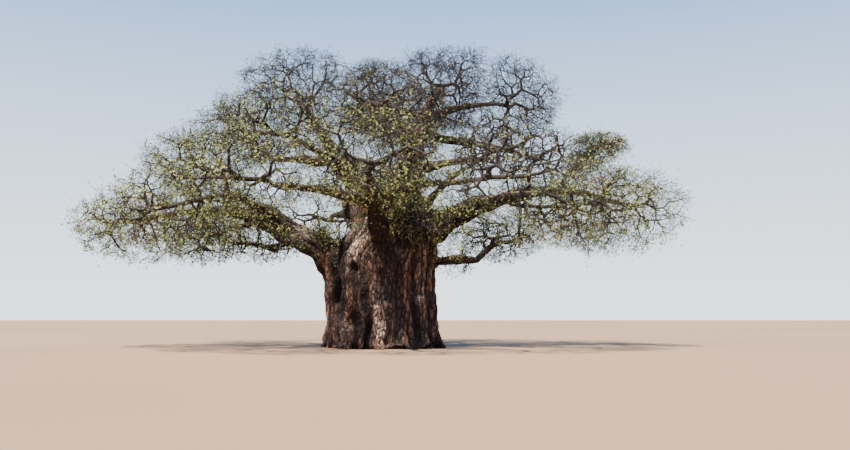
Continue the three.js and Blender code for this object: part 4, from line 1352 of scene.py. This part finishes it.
def barkPlates(nodes, grain):
    # dark cracks between plates of bark: 0 in a crack, 1 on a plate
    product = {0: grain, 1: barkLook["plateShape"]}
    rounder = nodes.add("ShaderNodeVectorMath", product, operation="MULTIPLY")
    plates = nodes.add("ShaderNodeTexVoronoi", feature="DISTANCE_TO_EDGE")
    vector = rounder.outputs["Vector"]
    nodes.feed(plates, {"Vector": vector, "Scale": barkLook["plates"], "Randomness": 1})
    return nodes.ramp(plates.outputs["Distance"], *barkLook["crackEdge"])


def barkBump(nodes, grain, flecks, plate):
    pocks = nodes.add("ShaderNodeTexVoronoi", {"Vector": grain, "Scale": barkLook["pocks"]})
    rough = nodes.times(nodes.math("ADD", pocks.outputs["Distance"], flecks), 0.5)
    strength, distance = barkLook["bump"]
    height = nodes.times(rough, plate)
    inputs = {"Strength": strength, "Distance": distance, "Height": height}
    return nodes.add("ShaderNodeBump", inputs).outputs["Normal"]


def barkSkin():
    material = bpy.data.materials.new("bark")
    nodes = Nodes(material)
    grain = nodes.attribute("grain", "Vector")
    crease, paintedHighlight, trunkness = (nodes.attribute(name) for name in ("crease", "paintedHighlight", "trunkness"))
    streaks, patches, flecks = (
        nodes.noise(grain, *barkLook[name]) for name in ("streaks", "patches", "flecks")
    )
    normal = nodes.add("ShaderNodeNewGeometry").outputs["Normal"]
    upward = nodes.add("ShaderNodeSeparateXYZ", {0: normal}).outputs["Z"]
    plate = barkPlates(nodes, grain)

    inPatches, inFlecks, facingUp, onFlecks, spotted, streaked = (
        nodes.ramp(value, *barkLook[name])
        for value, name in (
            (patches, "wornPatches"),
            (flecks, "wornFlecks"),
            (upward, "topHighlightRise"),
            (flecks, "topHighlightFlecks"),
            (flecks, "highlightFlecks"),
            (streaks, "redStreaks"),
        )
    )
    worn = nodes.times(inPatches, inFlecks)
    worn = nodes.times(worn, nodes.math("ADD", trunkness, barkLook["wornLimbs"]))
    # painted highlight: tan on upward-facing bark, in flecks, as if lit by the sun above
    topHighlight = nodes.times(facingUp, onFlecks)
    spotted = nodes.math("ADD", spotted, barkLook["highlightLeast"])
    layers = (
        (nodes.times(worn, barkLook["worn"]), "tan"),
        (nodes.times(topHighlight, barkLook["topHighlight"]), "tan"),
        # painted highlight on the ridges and the lobe
        (nodes.times(paintedHighlight, spotted), "tan"),
        # painted shade in creases, folds and hollows
        (nodes.times(crease, barkLook["creased"]), "shadow"),
        (nodes.math("SUBTRACT", barkLook["cracked"], plate), "shadow"),
    )
    tone = nodes.mix(streaked, barkLook["brown"], barkLook["red"])
    tone = nodes.mix(trunkness, barkLook["limb"], tone)
    for share, colour in layers:
        tone = nodes.mix(share, tone, barkLook[colour])
    nodes.feed(nodes.ending, {
        "Base Color": tone,
        "Roughness": barkLook["roughness"],
        "Specular IOR Level": barkLook["gloss"],
        "Normal": barkBump(nodes, grain, flecks, plate),
    })
    return material


def makeBark():
    bodies = [trunkBody()]
    for number, (name, limb) in enumerate(limbs.items()):
        if name != "bough_right_dead":
            bodies.append(limbBody(limb, number))
    rough = addObject("rough", triangleMesh("rough", *joinParts(bodies), barkSkin()))
    remesh = rough.modifiers.new("remesh", "REMESH")
    remesh.mode = "VOXEL"
    remesh.voxel_size = barkRelief["voxel"]
    soften = rough.modifiers.new("soften", "SMOOTH")
    soften.factor = 0.5
    soften.iterations = barkRelief["smoothing"]
    evaluated = rough.evaluated_get(bpy.context.evaluated_depsgraph_get())
    mesh = bpy.data.meshes.new_from_object(evaluated)
    mesh.name = "barkTrunkAndBoughs"
    bpy.data.objects.remove(rough)
    pressBark(mesh)
    mesh.polygons.foreach_set("use_smooth", np.full(len(mesh.polygons), True))
    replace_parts(addPiece(mesh), "trunk", *boughs)


def makeWood():
    wood = {"paths": [], "ends": []}
    for space in spaces:
        growMass(space, wood)
    draw = np.random.default_rng(7)
    growShoots(wood, draw)
    growDeadBoughs(wood, draw)
    wood["paths"] = [bentPath(path, draw) for path in wood["paths"]]
    print("grown", len(wood["paths"]), "branches with", len(wood["ends"]), "ends")
    return wood


def makeTwigs(wood, sprays, draw):
    look = twigShape["colour"], twigShape["roughness"], *twigShape["mottling"]
    twigBark = mottledMaterial("twigBark", *look)
    thick = [path for path in wood["paths"] if path[0][1] > twigShape["thick"]]
    thin = [path for path in wood["paths"] if path[0][1] <= twigShape["thick"]]
    branches = triangleMesh("branchesThick", *twigMesh(thick), twigBark, smooth=True)
    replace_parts(addPiece(branches), *masses)
    addPiece(triangleMesh("branchesThin", *twigMesh(thin), twigBark, smooth=True))
    radius = spraySettings["twigRadius"]
    bent = sprays["bare"] > spraySettings["bentFrom"]
    bases, kinks, ends = (sprays[key][bent] for key in ("bases", "kinks", "ends"))
    low = ends[:, 2] < np.median(ends[:, 2])
    for name, part in (("twigsBareLow", low), ("twigsBareHigh", ~low)):
        stations = [(bases[part], radius), (kinks[part], radius * spraySettings["pointed"])]
        addPiece(triangleMesh(name, *pointedTwigs(stations, ends[part]), twigBark))
    radius *= spraySettings["straight"]
    straight = {
        "twigsSide": sideTwigs(sprays, bent, draw),
        "twigsLeafy": (sprays["bases"][~bent], sprays["ends"][~bent]),
    }
    for name, (bases, ends) in straight.items():
        addPiece(triangleMesh(name, *pointedTwigs([(bases, radius)], ends), twigBark))


def makeLeaves(sprays, draw):
    # each spray has one tint; leafy low masses are greener, high bare ones drier
    ids, place = np.unique(sprays["spray"], return_inverse=True)
    bare = np.zeros(len(ids))
    bare[place] = sprays["bare"]
    green = np.array([tint[2] for tint in leafTints.values()])
    dry = np.array([tint[3] for tint in leafTints.values()])
    weights = green + (dry - green) * bare[:, None]
    chosen = (draw.random((len(ids), 1)) > np.cumsum(weights, axis=1)).sum(axis=1)
    tints = np.minimum(chosen, len(green) - 1)[place]
    leafy = 1 - sprays["bare"]
    bears = draw.random(len(tints)) < leafy ** spraySettings["leafyPower"]
    scatter, upward = spraySettings["leafTilt"]
    for number, (name, (colour, roughness, _, _)) in enumerate(leafTints.items()):
        chosen = bears & (tints == number)
        total = chosen.sum()
        normals = draw.normal(size=(total, 3)) * scatter
        normals[:, 2] += upward
        sizes = between(spraySettings["leafSize"], draw.random(total))
        sizes *= between((spraySettings["bareLeaf"], 1), leafy[chosen])
        bases, tips, forwards = (sprays[key][chosen] for key in ("bases", "ends", "direction"))
        parts = []
        for along in spraySettings["leafPlaces"]:
            parts.append(placeLeaves(bases + (tips - bases) * along, normals, forwards, sizes))
            normals = normals + draw.normal(size=(total, 3)) * scatter
            forwards = unit(forwards + draw.normal(size=(total, 3)) * scatter)
        material = mottledMaterial("leaf" + name, colour, roughness, *leafShape["mottling"])
        addPiece(triangleMesh("leaves" + name, *joinParts(parts), material))


stage = {
    "floorHalf": 600,
    "floorColour": (0.19, 0.115, 0.065),
    "horizonColour": (0.86, 0.94, 1.0),
    "zenithColour": (0.12, 0.30, 0.62),
    "horizonShare": (0.02, 0.42),  # rise over which the sky turns from one to the other
    "skyStrength": 2.4,
    "sunDirection": (-0.22, -0.46, 0.86),
    "sunStrength": 25.0,
    "sunColour": (1.0, 0.94, 0.84),
    "sunWidth": 1.5,  # degrees
    "floorDrop": 0.005,
    "floorRoughness": 0.9,
    "floorMottling": (0.02, 0.06),
}


def makeFloor():
    half = stage["floorHalf"]
    corners = [(-half, -half, 0), (half, -half, 0), (half, half, 0), (-half, half, 0)]
    mesh = bpy.data.meshes.new("floor")
    mesh.from_pydata(corners, [], [(0, 1, 2, 3)])
    look = stage["floorColour"], stage["floorRoughness"], *stage["floorMottling"]
    mesh.materials.append(mottledMaterial("floor", *look))
    floor = addObject("floor", mesh)
    floor.location.z = -stage["floorDrop"]


def makeSky():
    world = bpy.data.worlds.new("world")
    nodes = Nodes(world, "Background")
    towards = nodes.add("ShaderNodeTexCoord").outputs["Generated"]
    rise = nodes.add("ShaderNodeSeparateXYZ", {0: towards}).outputs["Z"]
    share = nodes.ramp(rise, *stage["horizonShare"], "LINEAR")
    colour = nodes.mix(share, stage["horizonColour"], stage["zenithColour"])
    nodes.feed(nodes.ending, {"Color": colour, "Strength": stage["skyStrength"]})
    bpy.context.scene.world = world


def makeSun():
    light = bpy.data.lights.new("sun", "SUN")
    light.energy = stage["sunStrength"]
    light.angle = math.radians(stage["sunWidth"])
    light.color = stage["sunColour"]
    sun = addObject("sun", light)
    sun.rotation_euler = Vector(stage["sunDirection"]).to_track_quat("Z", "Y").to_euler()


def makeCamera():
    lens = bpy.data.cameras.new("camera")
    lens.lens = viewpoint["lens"]
    lens.sensor_width = viewpoint["sensor"]
    lens.clip_end = viewpoint["farthest"]
    camera = addObject("camera", lens)
    camera.location = viewpoint["place"]
    camera.rotation_euler = (math.radians(90 + viewpoint["tiltUp"]), 0, 0)
    bpy.context.scene.camera = camera


limbs = makeLimbs()
print("curved", len(limbs), "limbs")
obstacles = clearancePoints(limbs)
spaces = makeSpaces()
makeBark()
wood = makeWood()
sprays = makeSprays(wood, np.random.default_rng(11))
makeTwigs(wood, sprays, np.random.default_rng(17))
makeLeaves(sprays, np.random.default_rng(13))
makeFloor()
makeSky()
makeSun()
makeCamera()
print("floor, sky, sun and camera in place")
